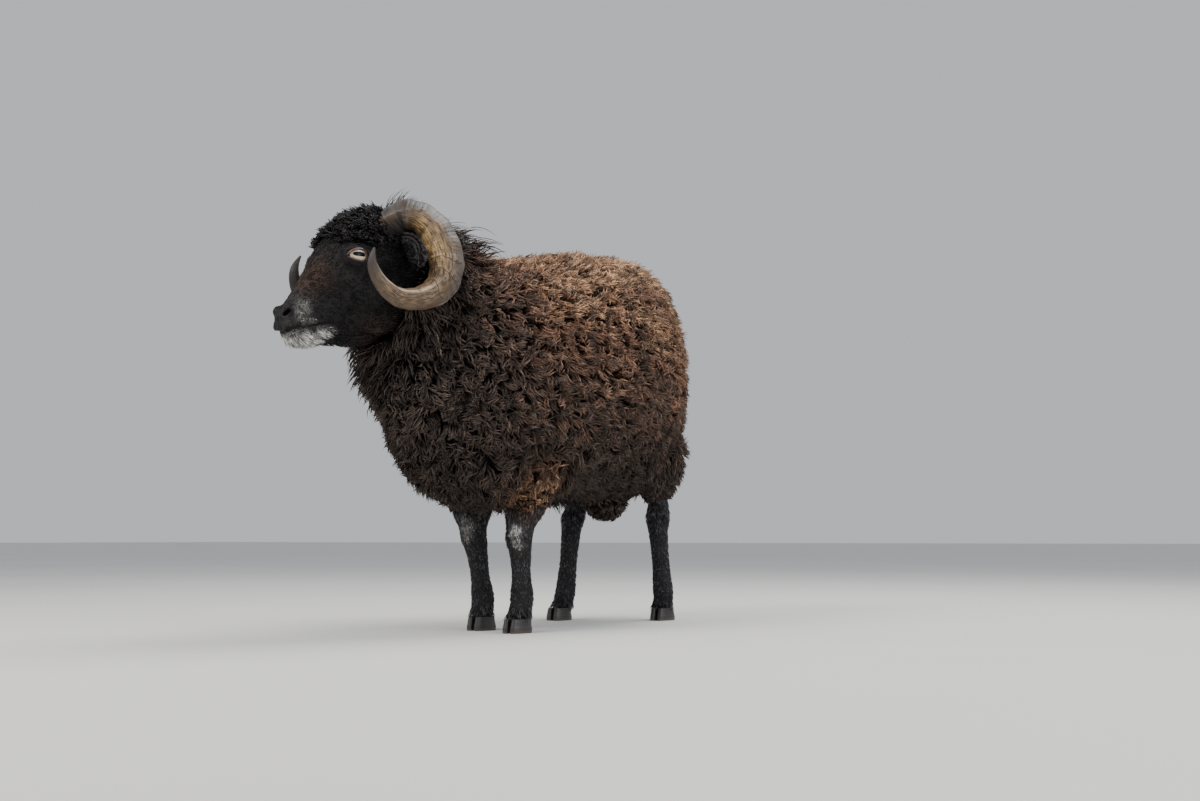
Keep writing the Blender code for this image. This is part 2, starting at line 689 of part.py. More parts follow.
def mane(shop, collection):
    """Flat locks that hang down the neck and overlap, row by row from the shoulders to the poll."""
    rng = random.Random("mane")
    on, towards = neck_plane()
    steps = 5
    for row, at in enumerate(rows_along(TRUNK, 7.4, 11.6, LOCK_LENGTH * 0.46)):
        for turn in turns_round(TRUNK, at, LOCK_WIDTH * 1.05, row % 2 / 2):
            turn += rng.uniform(-0.08, 0.08)
            if (TRUNK.point(at, turn) - on).dot(towards) < -0.012:
                continue
            length = LOCK_LENGTH * rng.uniform(0.8, 1.1) / steps
            towards_tip = Vector((rng.uniform(-0.2, 0.2), 0.35, -1.0))
            place, line, outs = (at, turn), [], []
            for share in spread(0, 1, steps + 1):
                sunk = MANE * (0.80 * (1 - share) ** 2 + 0.16)
                line.append(TRUNK.point(*place, -sunk))
                outs.append(TRUNK.normal(*place))
                place = TRUNK.stepped(*place, towards_tip, length)
            make_lock(line, outs, LOCK_WIDTH * rng.uniform(0.95, 1.2), LOCK_THICK, collection, shop.body)


def build_leg(shop, name, collection, grow=0.0):
    """A leg with the wool on its upper part and the dewclaws behind its fetlock."""
    limb = leg_limb(name)
    leg = make_limb(shop, name, limb, 14, 10, collection, grow)
    rng = random.Random(name)
    makers = []
    for row, at in enumerate((2.0, 2.9)):
        for turn in turns_round(limb, at, 0.060, row % 2 / 2):
            makers.append(lambda to, at=at, turn=turn: clump_on(shop, limb, at, turn, 0.050, 0.018, rng, to, grow))
    fetlock = min(spread(0, limb.end, 200), key=lambda at: abs(limb.point(at, 0).z - DEWCLAW_Z))
    for turn in (math.radians(-90 - 38), math.radians(-90 + 38)):
        at, out = limb.point(fetlock, turn, 0.001), limb.normal(fetlock, turn)
        sizes = [half + grow for half in DEWCLAW]
        makers.append(lambda to, at=at, out=out: make_clump(at, out, DOWN, sizes, to, shop.body, 5, 3))
    return leg, makers


def build_tail(shop, collection, grow=0.0):
    """The short tail, with clumps of wool down its length."""
    tail = make_limb(shop, "tail", TAIL, 8, 8, collection, grow - 0.004)
    rng = random.Random("tail")
    makers = []
    for row, at in enumerate((1.6, 2.5, 3.4)):
        for turn in turns_round(TAIL, at, 0.052, row % 2 / 2):
            makers.append(lambda to, at=at, turn=turn: clump_on(shop, TAIL, at, turn, 0.045, 0.020, rng, to, grow))
    return tail, makers


def leg_makers(shop, start):
    """Makers of the grown legs whose names have this start, to cut other nodes with."""

    def make(to, name):
        for maker in build_leg(shop, name, to, GAP)[1]:
            maker(to)

    return [lambda to, name=name: make(to, name) for name in LEGS if name.startswith(start)]


def build_neck(shop):
    neck = loft("neck", TRUNK.rings(5.5, 10.8, 10, 16, -MANE * 0.5), shop.parts, shop.body)
    on, towards = neck_plane()
    shop.join(neck, lambda to: mane(shop, to))
    shop.cut(
        neck,
        lambda to: half_space("behind", on + towards * (GAP / 2), -towards, to, shop.body),
        lambda to: make_head(shop, to, GAP),
        lambda to: make_horn(shop, 1, to, 2 * GAP),
        lambda to: make_horn(shop, -1, to, 2 * GAP),
    )
    paint(neck, MANE_BLACK)


def build_torso(shop):
    torso = loft("torso", TRUNK.rings(0.5, 9.5, 15, 20, -FLEECE * 0.5), shop.parts, shop.body)
    on, towards = neck_plane()
    shop.join(torso, lambda to: fleece(shop, to))
    shop.cut(
        torso,
        lambda to: half_space("ahead", on - towards * (GAP / 2), towards, to, shop.body),
        *leg_makers(shop, ""),
        lambda to: [maker(to) for maker in build_tail(shop, to, GAP)[1]],
        lambda to: make_limb(shop, "scrotum", SCROTUM, 8, 12, to, GAP),
    )
    paint(torso, FLEECE_BROWN)


def claw_ring(foot, side, z, size):
    """One level of a claw: a long rounded wedge whose inner side is flat."""
    ring = []
    for k in range(10):
        turn = 2 * math.pi * k / 10
        narrow = 0.80 - 0.20 * math.cos(turn)
        out = max(math.sin(turn), -0.42) * narrow * CLAW_WIDTH / 1.30
        x = foot[0] + side * (0.0010 + 0.336 * CLAW_WIDTH / 1.30 + out * size)
        y = foot[1] - CLAW_AHEAD - math.cos(turn) * CLAW_LENGTH / 2 * size
        ring.append(Vector((x, y, z)))
    return ring


def make_claws(shop, leg):
    """The two claws under one leg, each with a flat sole."""
    foot = LEGS[leg][0]
    outer = 1 if leg.endswith("left") else -1
    top = CORONET - GAP
    for word, side in (("outer", outer), ("inner", -outer)):
        levels = ((0.0, 1.0), (0.005, 1.0), (top, 0.82))
        rings = [claw_ring(foot, side, z, size) for z, size in levels]
        claw = loft(leg.replace("leg", "claw") + "_" + word, rings, shop.parts, shop.body)
        paint(claw, CLAW_BLACK)


def paint(obj, finish):
    """Gives a node its material, which nodes of the same finish share."""
    name, colour, roughness = finish
    material = bpy.data.materials.get(name)
    if not material:
        material = bpy.data.materials.new(name)
        material.use_nodes = True
        shader = material.node_tree.nodes["Principled BSDF"]
        shader.inputs["Base Color"].default_value = (*colour, 1)
        shader.inputs["Roughness"].default_value = roughness
        shader.inputs["Metallic"].default_value = 0.0
    obj.data.materials.clear()
    obj.data.materials.append(material)


def make_both(shop, maker, name, finish):
    """The left and the right one of a pair."""
    for word, side in (("left", 1), ("right", -1)):
        obj = maker(shop, side, shop.parts)
        obj.name = name + "_" + word
        paint(obj, finish)


def main():
    shop = Workshop()
    make_both(shop, make_eye, "eye", EYE_CREAM)
    make_both(shop, make_horn, "horn", HORN_BROWN)
    make_both(shop, make_ear, "ear", HAIR_BLACK)
    for name in LEGS:
        leg, wool = build_leg(shop, name, shop.parts)
        shop.join(leg, *wool)
        paint(leg, HAIR_BLACK)
        make_claws(shop, name)
    tail, wool = build_tail(shop, shop.parts)
    shop.join(tail, *wool)
    paint(tail, FLEECE_BROWN)
    scrotum = make_limb(shop, "scrotum", SCROTUM, 8, 12, shop.parts)
    shop.cut(scrotum, *leg_makers(shop, "hind"))
    paint(scrotum, FLEECE_BROWN)
    build_head(shop)
    build_neck(shop)
    build_torso(shop)
    for obj in shop.parts.objects:
        if obj.type == "MESH":
            obj.data.shade_smooth()
            obj.data.set_sharp_from_angle(angle=math.radians(40))


main()
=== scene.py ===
"""Ouessant ram: its skin, its coat, its eyes and its horns, for rendering."""

import json
import math
import random

import bmesh
import bpy
import numpy as np
from mathutils import Matrix, Vector
from mathutils.kdtree import KDTree

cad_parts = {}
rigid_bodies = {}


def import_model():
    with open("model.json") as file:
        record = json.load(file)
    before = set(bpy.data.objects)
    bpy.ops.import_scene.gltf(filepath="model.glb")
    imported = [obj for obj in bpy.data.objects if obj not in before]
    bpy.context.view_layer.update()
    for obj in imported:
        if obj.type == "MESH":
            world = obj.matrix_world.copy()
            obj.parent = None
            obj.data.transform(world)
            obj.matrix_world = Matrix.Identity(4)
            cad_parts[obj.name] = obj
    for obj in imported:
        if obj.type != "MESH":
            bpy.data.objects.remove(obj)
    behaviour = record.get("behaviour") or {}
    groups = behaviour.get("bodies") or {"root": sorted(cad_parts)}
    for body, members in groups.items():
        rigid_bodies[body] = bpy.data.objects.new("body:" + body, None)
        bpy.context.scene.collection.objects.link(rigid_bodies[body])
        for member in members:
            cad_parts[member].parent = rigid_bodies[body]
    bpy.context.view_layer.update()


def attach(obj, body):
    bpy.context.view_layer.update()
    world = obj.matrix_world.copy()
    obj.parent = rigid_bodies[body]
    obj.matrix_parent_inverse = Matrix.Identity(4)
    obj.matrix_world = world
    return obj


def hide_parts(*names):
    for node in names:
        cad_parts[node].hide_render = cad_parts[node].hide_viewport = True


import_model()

# The numbers that the meshes keep for their materials
MARKS = ("bleached", "white", "brown")
SKIN_VALUES = (*MARKS, "bare", "pink")
HORN_VALUES = ("along", "turn", "outer", "groove")

TRUNK_AT = Vector((0.0, 0.1025, 0.0))
HEAD_AT = Vector((-0.020, -0.290, 0.0))
HEAD_YAW = math.radians(-20)

# The solid's own sections, out to the tips of the coat
TRUNK_ROWS = (
    (0.000, 0.226, 0.350, 0.035, 0.050, 0.050),
    (0.000, 0.214, 0.348, 0.068, 0.108, 0.110),
    (0.000, 0.190, 0.346, 0.093, 0.148, 0.150),
    (0.000, 0.150, 0.343, 0.118, 0.172, 0.172),
    (0.000, 0.080, 0.338, 0.146, 0.176, 0.172),
    (0.000, 0.000, 0.334, 0.158, 0.171, 0.170),
    (0.000, -0.070, 0.332, 0.158, 0.160, 0.170),
    (0.000, -0.130, 0.334, 0.151, 0.148, 0.189),
    (0.000, -0.182, 0.344, 0.139, 0.138, 0.198),
    (-0.005, -0.228, 0.366, 0.111, 0.120, 0.168),
    (-0.016, -0.262, 0.394, 0.088, 0.098, 0.136),
    (-0.030, -0.292, 0.419, 0.071, 0.078, 0.106),
    (-0.044, -0.318, 0.437, 0.058, 0.062, 0.088),
)
HEAD_ROWS = (
    (0.000, 0.470, 0.030, 0.372, 0.038, 0.00, 2.0),
    (0.030, 0.494, 0.048, 0.352, 0.047, 0.10, 2.1),
    (0.062, 0.503, 0.070, 0.340, 0.052, 0.20, 2.2),
    (0.090, 0.499, 0.090, 0.335, 0.053, 0.25, 2.2),
    (0.112, 0.482, 0.106, 0.334, 0.050, 0.22, 2.1),
    (0.127, 0.461, 0.120, 0.334, 0.043, 0.15, 2.1),
    (0.138, 0.441, 0.132, 0.333, 0.035, 0.05, 2.1),
    (0.148, 0.424, 0.143, 0.331, 0.029, -0.05, 2.2),
    (0.158, 0.407, 0.152, 0.330, 0.025, -0.10, 2.3),
    (0.167, 0.393, 0.160, 0.331, 0.0230, -0.10, 2.3),
    (0.176, 0.380, 0.168, 0.335, 0.0215, -0.05, 2.3),
    (0.182, 0.371, 0.175, 0.341, 0.0185, 0.05, 2.2),
    (0.186, 0.363, 0.182, 0.350, 0.0110, 0.05, 2.0),
)
EYE_AT = (0.1116, 0.0403, 0.4327)
EYE_RADIUS = 0.0130
EYE_SIDE = (0.026, 0.032)  # from here out a place lies on the side with the eye
LID_WALL = 0.0013
HORN_ROWS = (
    (0.0660, 0.0180, 0.4550, 0.0200, 0.0170),
    (0.0620, 0.0320, 0.4740, 0.0220, 0.0185),
    (0.0480, 0.0500, 0.4855, 0.0225, 0.0185),
    (0.0225, 0.0670, 0.4710, 0.0225, 0.0180),
    (0.0110, 0.0780, 0.4370, 0.0225, 0.0165),
    (0.0220, 0.0850, 0.4040, 0.0185, 0.0145),
    (0.0505, 0.0880, 0.3855, 0.0138, 0.0125),
    (0.0830, 0.0900, 0.3825, 0.0112, 0.0100),
    (0.1080, 0.0915, 0.3965, 0.0085, 0.0080),
    (0.1200, 0.0930, 0.4160, 0.0055, 0.0055),
    (0.1180, 0.0945, 0.4340, 0.0010, 0.0012),
)
HORN_CURL = (0.0730, 0.4330)
HORN_EXTRA_TURN = {1: 0.0, -1: math.radians(-22)}
HORN_SPLAY = {1: 1.0, -1: 0.86}
HORN_START = 0.45
HORN_PINCH = 0.45
HORN_RIDGE = 0.08
HORN_STEPS = 33  # ridges and grooves between root and tip
EAR_ROOT = (0.0500, 0.0350, 0.4560)
EAR_TIP = (0.0660, 0.0985, 0.4290)
EAR_WIDTH = 0.034
EAR_WALL = 0.0036
EAR_OPEN_TO = (0.90, 0.00, -0.40)
LEGS = {
    "front_leg_left": ((0.049, -0.170), (0.046, -0.166), (0.062, -0.135)),
    "front_leg_right": ((-0.021, -0.146), (-0.034, -0.149), (-0.062, -0.135)),
    "hind_leg_left": ((0.066, 0.172), (0.056, 0.163), (0.062, 0.130)),
    "hind_leg_right": ((-0.060, 0.100), (-0.063, 0.134), (-0.064, 0.125)),
}
LEG_TOP = 0.250
CARPUS = 0.120
HOCK = 0.163
CORONET = 0.0175
FRONT_ROWS = (
    (0.250, 0.040, 0.044, 0.048, 0.000),
    (0.215, 0.040, 0.045, 0.050, 0.000),
    (0.180, 0.035, 0.040, 0.044, 0.000),
    (0.152, 0.027, 0.030, 0.032, -0.002),
    (0.130, 0.0195, 0.0200, 0.0205, -0.003),
    (0.113, 0.0180, 0.0190, 0.0185, -0.003),
    (0.097, 0.0150, 0.0155, 0.0165, 0.000),
    (0.070, 0.0130, 0.0135, 0.0155, 0.002),
    (0.050, 0.0150, 0.0150, 0.0180, 0.003),
    (0.038, 0.0160, 0.0155, 0.0180, 0.003),
    (0.027, 0.0155, 0.0150, 0.0165, 0.000),
    (CORONET, 0.0165, 0.0170, 0.0180, -0.004),
)
HIND_ROWS = (
    (0.250, 0.048, 0.056, 0.050, 0.005),
    (0.225, 0.046, 0.054, 0.048, 0.008),
    (0.200, 0.036, 0.043, 0.039, 0.012),
    (0.180, 0.026, 0.030, 0.029, 0.012),
    (0.163, 0.0205, 0.0225, 0.0250, 0.010),
    (0.145, 0.0185, 0.0195, 0.0205, 0.006),
    (0.120, 0.0150, 0.0160, 0.0165, 0.004),
    (0.080, 0.0135, 0.0145, 0.0155, 0.004),
    (0.052, 0.0150, 0.0155, 0.0180, 0.003),
    (0.038, 0.0160, 0.0155, 0.0180, 0.003),
    (0.027, 0.0155, 0.0150, 0.0165, 0.000),
    (CORONET, 0.0165, 0.0170, 0.0180, -0.004),
)
CLAW_LENGTH = 0.039
CLAW_WIDTH = 0.0165
CLAW_AHEAD = 0.0075
TAIL_ROWS = (
    (0.0, 0.180, 0.440, 0.028, 0.024, 0.024),
    (0.0, 0.212, 0.426, 0.030, 0.025, 0.025),
    (0.0, 0.234, 0.392, 0.029, 0.023, 0.023),
    (0.0, 0.243, 0.347, 0.026, 0.020, 0.020),
    (0.0, 0.245, 0.307, 0.019, 0.015, 0.015),
    (0.0, 0.244, 0.282, 0.006, 0.006, 0.006),
)
SCROTUM_ROWS = (
    (0.0, 0.112, 0.230, 0.026, 0.026, 0.026),
    (0.0, 0.116, 0.195, 0.030, 0.029, 0.029),
    (0.0, 0.120, 0.172, 0.032, 0.031, 0.031),
    (0.0, 0.122, 0.156, 0.024, 0.024, 0.024),
    (0.0, 0.122, 0.149, 0.008, 0.008, 0.008),
)

# How deep the skin lies under the tips of the coat
FLEECE_DEPTH = 0.025
MANE_DEPTH = 0.028
LEG_WOOL_DEPTH = 0.014
LEG_HAIR_DEPTH = 0.0022
TAIL_DEPTH = 0.013
SCROTUM_DEPTH = 0.009
FACE_DEPTH = 0.0022
INNER_HEAD_DEPTH = 0.009
CROWN_DEPTH = 0.0085

BODY_VOXEL = 0.0034
FORM_VOXEL = 0.0018
HEAD_VOXEL = 0.0014
SKIN_THINNED_ABOVE = 0.19
LIT_POINT = Vector((0, 0, 0.28))
MOST_IN_A_PIECE = 190000  # triangles
TRUNK_COAT_FROM = 0.236
HAIR_OFF_HORNS = 0.0150


def head_point(forward, left, height):
    return Vector((left, -forward, height))


HEAD_TO_WORLD = Matrix.Translation(TRUNK_AT + HEAD_AT) @ Matrix.Rotation(HEAD_YAW, 4, "Z")
HEAD_SPIN = np.array(HEAD_TO_WORLD)[:3, :3]
HEAD_AXES = Vector((0, -1, 0)), Vector((1, 0, 0)), Vector((0, 0, 1))


def from_head(point, side=1):
    """A point of the head in the world, mirrored for the other side."""
    return HEAD_TO_WORLD @ Vector((point.x * side, point.y, point.z))


def between(rows, at):
    """The row at this place, counted in rows, on a smooth curve through them."""
    i = min(int(at), len(rows) - 2)
    u = at - i
    four = (rows[max(i - 1, 0)], rows[i], rows[i + 1], rows[min(i + 2, len(rows) - 1)])
    return [
        q + 0.5 * u * (r - p + u * (2 * p - 5 * q + 4 * r - s + u * (3 * q - p - 3 * r + s)))
        for p, q, r, s in zip(*four)
    ]


def rounded(turn, squareness):
    c, s = math.cos(turn), math.sin(turn)
    power = 2 / squareness
    return math.copysign(abs(c) ** power, c), math.copysign(abs(s) ** power, s)


def spread(first, last, count):
    return [first + (last - first) * k / (count - 1) for k in range(count)]


def smooth(value, low, high):
    """0 at low, 1 at high, and smooth between, for one number or an array."""
    share = np.clip((value - low) / (high - low), 0.0, 1.0)
    return share * share * (3 - 2 * share)


class Limb:
    """A form with rounded sections along a line, and a depth of coat over its skin."""

    def __init__(self, rows, up, squareness=2.1, along=None, depth=None, to_world=None):
        self.rows = rows
        self.up = Vector(up)
        self.squareness = squareness
        self.along = along
        self.depth = depth or (lambda row: 0.0)
        self.to_world = to_world or Matrix.Translation(TRUNK_AT)
        self.end = len(rows) - 1

    def point(self, at, turn):
        back = Vector(between(self.rows, max(at - 0.05, 0.0))[:3])
        ahead = Vector(between(self.rows, min(at + 0.05, self.end))[:3])
        along = self.along or (ahead - back).normalized()
        side = along.cross(self.up).normalized()
        up = side.cross(along)
        row = between(self.rows, at)
        deep = self.depth(row)
        x, y = rounded(turn, self.squareness)
        wide = max(row[3] - deep, 0.002)
        high = max((row[4] if y > 0 else row[5]) - deep, 0.002)
        return Vector(row[:3]) + side * (x * wide) + up * (y * high)

    def grid(self, first, last, count, sides):
        """Rings of points in the world."""
        turns = [2 * math.pi * k / sides for k in range(sides)]
        return [[self.to_world @ self.point(at, t) for t in turns] for at in spread(first, last, count)]


class Head(Limb):
    """The head, whose rows give the top and the bottom of each section."""

    def __init__(self, depth):
        super().__init__(HEAD_ROWS, (0, 0, 1), depth=lambda row: depth, to_world=HEAD_TO_WORLD)

    def point(self, at, turn):
        row = between(self.rows, at)
        top, low = head_point(row[0], 0, row[1]), head_point(row[2], 0, row[3])
        width, lean, squareness = row[4:7]
        deep = self.depth(row)
        x, y = rounded(turn, squareness)
        side = Vector((x * (width - deep) * (1 + lean * y), 0, 0))
        return (top + low) / 2 + side + (top - low).normalized() * (y * ((top - low).length / 2 - deep))


def leg_depth(row):
    return LEG_HAIR_DEPTH + (LEG_WOOL_DEPTH - LEG_HAIR_DEPTH) * float(smooth(row[2], 0.135, 0.190))


def leg_limb(name):
    foot, joint, top = LEGS[name]
    rows, joint_z = (HIND_ROWS, HOCK) if name.startswith("hind") else (FRONT_ROWS, CARPUS)
    placed = []
    for z, width, front, back, behind in rows:
        if z > joint_z:
            share, low, high = (z - joint_z) / (LEG_TOP - joint_z), joint, top
        else:
            share, low, high = z / joint_z, foot, joint
        x = low[0] + (high[0] - low[0]) * share
        y = low[1] + (high[1] - low[1]) * share + behind
        placed.append((x, y, z, width, front, back))
    return Limb(placed, (0, -1, 0), along=Vector((0, 0, -1)), depth=leg_depth)


def trunk_depth(row):
    share = float(smooth(-row[1], 0.130, 0.230))
    return FLEECE_DEPTH + (MANE_DEPTH - FLEECE_DEPTH) * share


LIMBS = {
    "trunk": Limb(TRUNK_ROWS, (0, 0, 1), 2.2, depth=trunk_depth),
    "tail": Limb(TAIL_ROWS, (0, 1, 0), depth=lambda row: TAIL_DEPTH),
    "scrotum": Limb(SCROTUM_ROWS, (0, -1, 0), depth=lambda row: SCROTUM_DEPTH),
    "head": Head(FACE_DEPTH),
    **{name: leg_limb(name) for name in LEGS},
}


# Meshes


def placed_object(name, data):
    obj = bpy.data.objects.new(name, data)
    bpy.context.scene.collection.objects.link(obj)
    return obj


def finished(made, name, turn_out=True):
    """An object of a finished bmesh, with its faces out."""
    if turn_out:
        bmesh.ops.recalc_face_normals(made, faces=made.faces)
    mesh = bpy.data.meshes.new(name)
    made.to_mesh(mesh)
    made.free()
    return placed_object(name, mesh)


def dressed(obj, material):
    obj.data.materials.append(material)
    obj.data.shade_smooth()
    return obj


def loft(name, rings):
    """A closed body through rings of points."""
    sides = len(rings[0])
    verts = [p for ring in rings for p in ring]
    faces = []
    for a in range(len(rings) - 1):
        for k in range(sides):
            j = (k + 1) % sides
            faces.append((a * sides + k, a * sides + j, (a + 1) * sides + j, (a + 1) * sides + k))
    for ring, base in ((rings[0], 0), (rings[-1], (len(rings) - 1) * sides)):
        verts.append(sum(ring, Vector()) / sides)
        for k in range(sides):
            faces.append((base + k, base + (k + 1) % sides, len(verts) - 1))
    made = bmesh.new()
    points = [made.verts.new(p) for p in verts]
    for face in faces:
        made.faces.new([points[k] for k in face])
    return finished(made, name)


def ellipsoid(name, at, axes, sizes, segments=24, rows=14):
    """A ball with these half sizes along three axes of the head, at a place in the head."""
    made = bmesh.new()
    bmesh.ops.create_uvsphere(made, u_segments=segments, v_segments=rows, radius=1.0)
    turned = Matrix(axes).transposed().to_4x4()
    made.transform(HEAD_TO_WORLD @ Matrix.Translation(at) @ turned @ Matrix.Diagonal((*sizes, 1)))
    return finished(made, name)


def baked(obj):
    """Applies the modifiers of an object to its mesh."""
    graph = bpy.context.evaluated_depsgraph_get()
    mesh = bpy.data.meshes.new_from_object(obj.evaluated_get(graph))
    obj.modifiers.clear()
    old = obj.data
    obj.data = mesh
    bpy.data.meshes.remove(old)
    return obj


def join(target, others):
    """Puts the meshes of the others into the target's."""
    made = bmesh.new()
    for obj in (target, *others):
        made.from_mesh(obj.data)
    made.to_mesh(target.data)
    made.free()
    for obj in others:
        bpy.data.objects.remove(obj)
    return target


def remeshed(obj, voxel, smoothing):
    change = obj.modifiers.new("remesh", "REMESH")
    change.mode = "VOXEL"
    change.voxel_size = voxel
    change.use_smooth_shade = True
    even = obj.modifiers.new("even", "SMOOTH")
    even.factor = 0.5
    even.iterations = smoothing
    return baked(obj)


def difference(obj, cutters):
    """Cuts all the cutters out of obj."""
    room = bpy.data.collections.new("cutters")
    bpy.context.scene.collection.children.link(room)
    for cutter in cutters:
        for old in list(cutter.users_collection):
            old.objects.unlink(cutter)
        room.objects.link(cutter)
    change = obj.modifiers.new("cut", "BOOLEAN")
    change.operation = "DIFFERENCE"
    change.operand_type = "COLLECTION"
    change.collection = room
    baked(obj)
    for cutter in list(room.objects):
        bpy.data.objects.remove(cutter)
    bpy.data.collections.remove(room)
    return obj


def vectors(obj, kind):
    """The vectors of this kind, one for each vertex."""
    flat = np.empty(len(obj.data.vertices) * 3, np.float32)
    obj.data.vertices.foreach_get(kind, flat)
    return flat.reshape(-1, 3).astype(float)


def points_and_outs(obj):
    return vectors(obj, "co"), vectors(obj, "normal")


def move_to(obj, points):
    obj.data.vertices.foreach_set("co", points.reshape(-1).astype(np.float32))
    obj.data.update()


def set_values(mesh, **named):
    """Stores one number per vertex under each name."""
    for name, values in named.items():
        layer = mesh.attributes.new(name, "FLOAT", "POINT")
        layer.data.foreach_set("value", np.asarray(values, np.float32))


# Marks: where the coat has which colour, the same for skin and coat


def in_trunk(points):
    """Across, along and height in the trunk's frame of points in the world."""
    return (points - np.array(TRUNK_AT)).T


def in_head(points):
    """Forward, left and height in the head's frame of points in the world."""
    back = np.array(HEAD_TO_WORLD.inverted())
    local = points @ back[:3, :3].T + back[:3, 3]
    return -local[:, 1], local[:, 0], local[:, 2]


def waves(points, scale, seed):
    """A smooth random field between -1 and 1."""
    rng = np.random.RandomState(seed)
    total = np.zeros(len(points))
    for _ in range(7):
        way = rng.normal(size=3)
        way *= rng.uniform(0.6, 1.5) / np.linalg.norm(way)
        total += np.sin(points @ way * (2 * np.pi / scale) + rng.uniform(0, 6.28))
    return np.clip(total / 3.2, -1, 1)


def blob(values, middles, sizes):
    """1 in the middle of a rounded patch, fading to 0 at its edge."""
    far = sum(((value - middle) / size) ** 2 for value, middle, size in zip(values, middles, sizes))
    return np.clip(1.6 * np.exp(-far * 1.6), 0, 1)


def marks(points):
    """How bleached, how white and how brown the coat is at these points."""
    x, y, z = at = in_trunk(points)
    forward, left, height = in_head(points)
    muzzle = forward, height, np.abs(left)
    uneven = waves(points, 0.11, 3) * 0.20 + waves(points, 0.035, 4) * 0.16
    back = smooth(z, 0.245, 0.425) * smooth(y, -0.315, -0.175) * (1 - 0.75 * smooth(y, 0.150, 0.215))
    back = np.maximum(back, 0.75 * smooth(z, 0.40, 0.47) * smooth(y, -0.265, -0.195))
    flank = 0.34 * smooth(z, 0.200, 0.300) * smooth(y, -0.290, -0.180) * (0.7 + 1.8 * waves(points, 0.022, 6))
    bleached = np.clip(np.maximum(back * (0.95 + uneven * 1.3), flank), 0, 1)
    elbow = blob(at, (0.062, -0.168, 0.186), (0.050, 0.042, 0.044))
    bleached = np.maximum(bleached, np.minimum(1.2 * elbow * smooth(x, 0.02, 0.05), 1))
    face = np.max((
        blob(muzzle, (0.158, 0.338), (0.026, 0.0095)) * smooth(forward, 0.122, 0.140),
        blob(muzzle, (0.140, 0.344, 0.024), (0.013, 0.008, 0.014)),
        0.46 * blob(muzzle, (0.1655, 0.368, 0.020), (0.0105, 0.015, 0.012)),
        0.40 * blob(muzzle, (0.158, 0.356, 0.021), (0.012, 0.008, 0.010)),
        0.10 * blob(muzzle, (0.168, 0.386), (0.010, 0.009)),
        0.10 * blob(muzzle, (0.178, 0.352), (0.012, 0.006)),
    ), axis=0)
    white = np.max((
        face * (z > 0.30),
        1.2 * blob(at, (0.051, -0.188, 0.124), (0.0085, 0.018, 0.0100)),
        0.45 * blob(at, (0.053, -0.188, 0.108), (0.0095, 0.018, 0.011)),
        0.50 * blob(at, (-0.034, -0.168, 0.128), (0.012, 0.018, 0.022)),
    ), axis=0)
    bridge = 0.55 * blob(muzzle, (0.142, 0.405, 0.010), (0.030, 0.028, 0.020)) * smooth(z, 0.36, 0.39)
    brown = np.maximum(bridge, 0.30 * blob(muzzle, (0.070, 0.352), (0.030, 0.018)) * (z > 0.30))
    streaks = 1 + 0.25 * waves(points, 0.010, 5)
    return bleached, np.clip(white * streaks, 0, 1), np.clip(brown * streaks, 0, 1)


# The coat


def unit(rows):
    return rows / np.maximum(np.linalg.norm(rows, axis=1, keepdims=True), 1e-9)


def tangent(ways, outs):
    """The ways laid flat on the surface."""
    flat = ways - outs * np.sum(ways * outs, axis=1, keepdims=True)
    return unit(flat)


def tufts(
    name, root, out, lie, uv, rng, length, width, flat, lean, curl, turns,
    pull, rings, sunk, clump, blunt, colour,
):
    """One mesh of closed three-sided tufts. Each grows from its root, leans over into the lie and curls.

    lean holds the angles from upright at the root and at the tip. The tufts of one clump curl alike.
    """
    count = len(root)
    length, width, curl, first, last = (
        value * np.ones(count) for value in (length, width, curl, *np.radians(lean))
    )
    side = unit(np.cross(lie, out))
    share = np.linspace(0, 1, rings + 1)
    path = np.zeros((rings + 1, count, 3))
    place = root - out * sunk
    way_before = None
    for k, s in enumerate(share):
        angle = first + (last - first) * s
        way = out * np.cos(angle)[:, None] + lie * np.sin(angle)[:, None]
        if k:
            place = place + (way + way_before) / 2 * (length / rings)[:, None]
        way_before = way
        path[k] = place
    phase = clump * 47.0 + rng.uniform(-0.9, 0.9, count)
    hand = np.where((clump * 91.0) % 1 < 0.5, -1.0, 1.0)
    for k, s in enumerate(share):
        angle = phase + hand * turns * 2 * np.pi * s
        swing = curl * min(s * 2.2, 1.0)
        path[k] += side * (swing * np.cos(angle))[:, None] + out * (swing * 0.8 * np.sin(angle))[:, None]
        path[k] += pull * s**1.4
    verts = np.zeros((count, 3 * rings + 1, 3))
    twist = rng.uniform(-0.6, 0.6, count)
    for k in range(rings):
        s = share[k]
        ahead = unit(path[k + 1] - path[max(k - 1, 0)])
        across = unit(np.cross(ahead, out) + side * 1e-4)
        upward = np.cross(across, ahead)
        half = width / 2 * (0.78 + 0.45 * s) * (1 - s**blunt)
        for j in range(3):
            angle = twist + j * 2 * np.pi / 3
            reach = across * (half * np.cos(angle))[:, None] + upward * (half * flat * np.sin(angle))[:, None]
            verts[:, 3 * k + j] = path[k] + reach
    verts[:, -1] = path[rings]
    return tuft_mesh(name, verts, share, clump, rng, root, uv, colour)


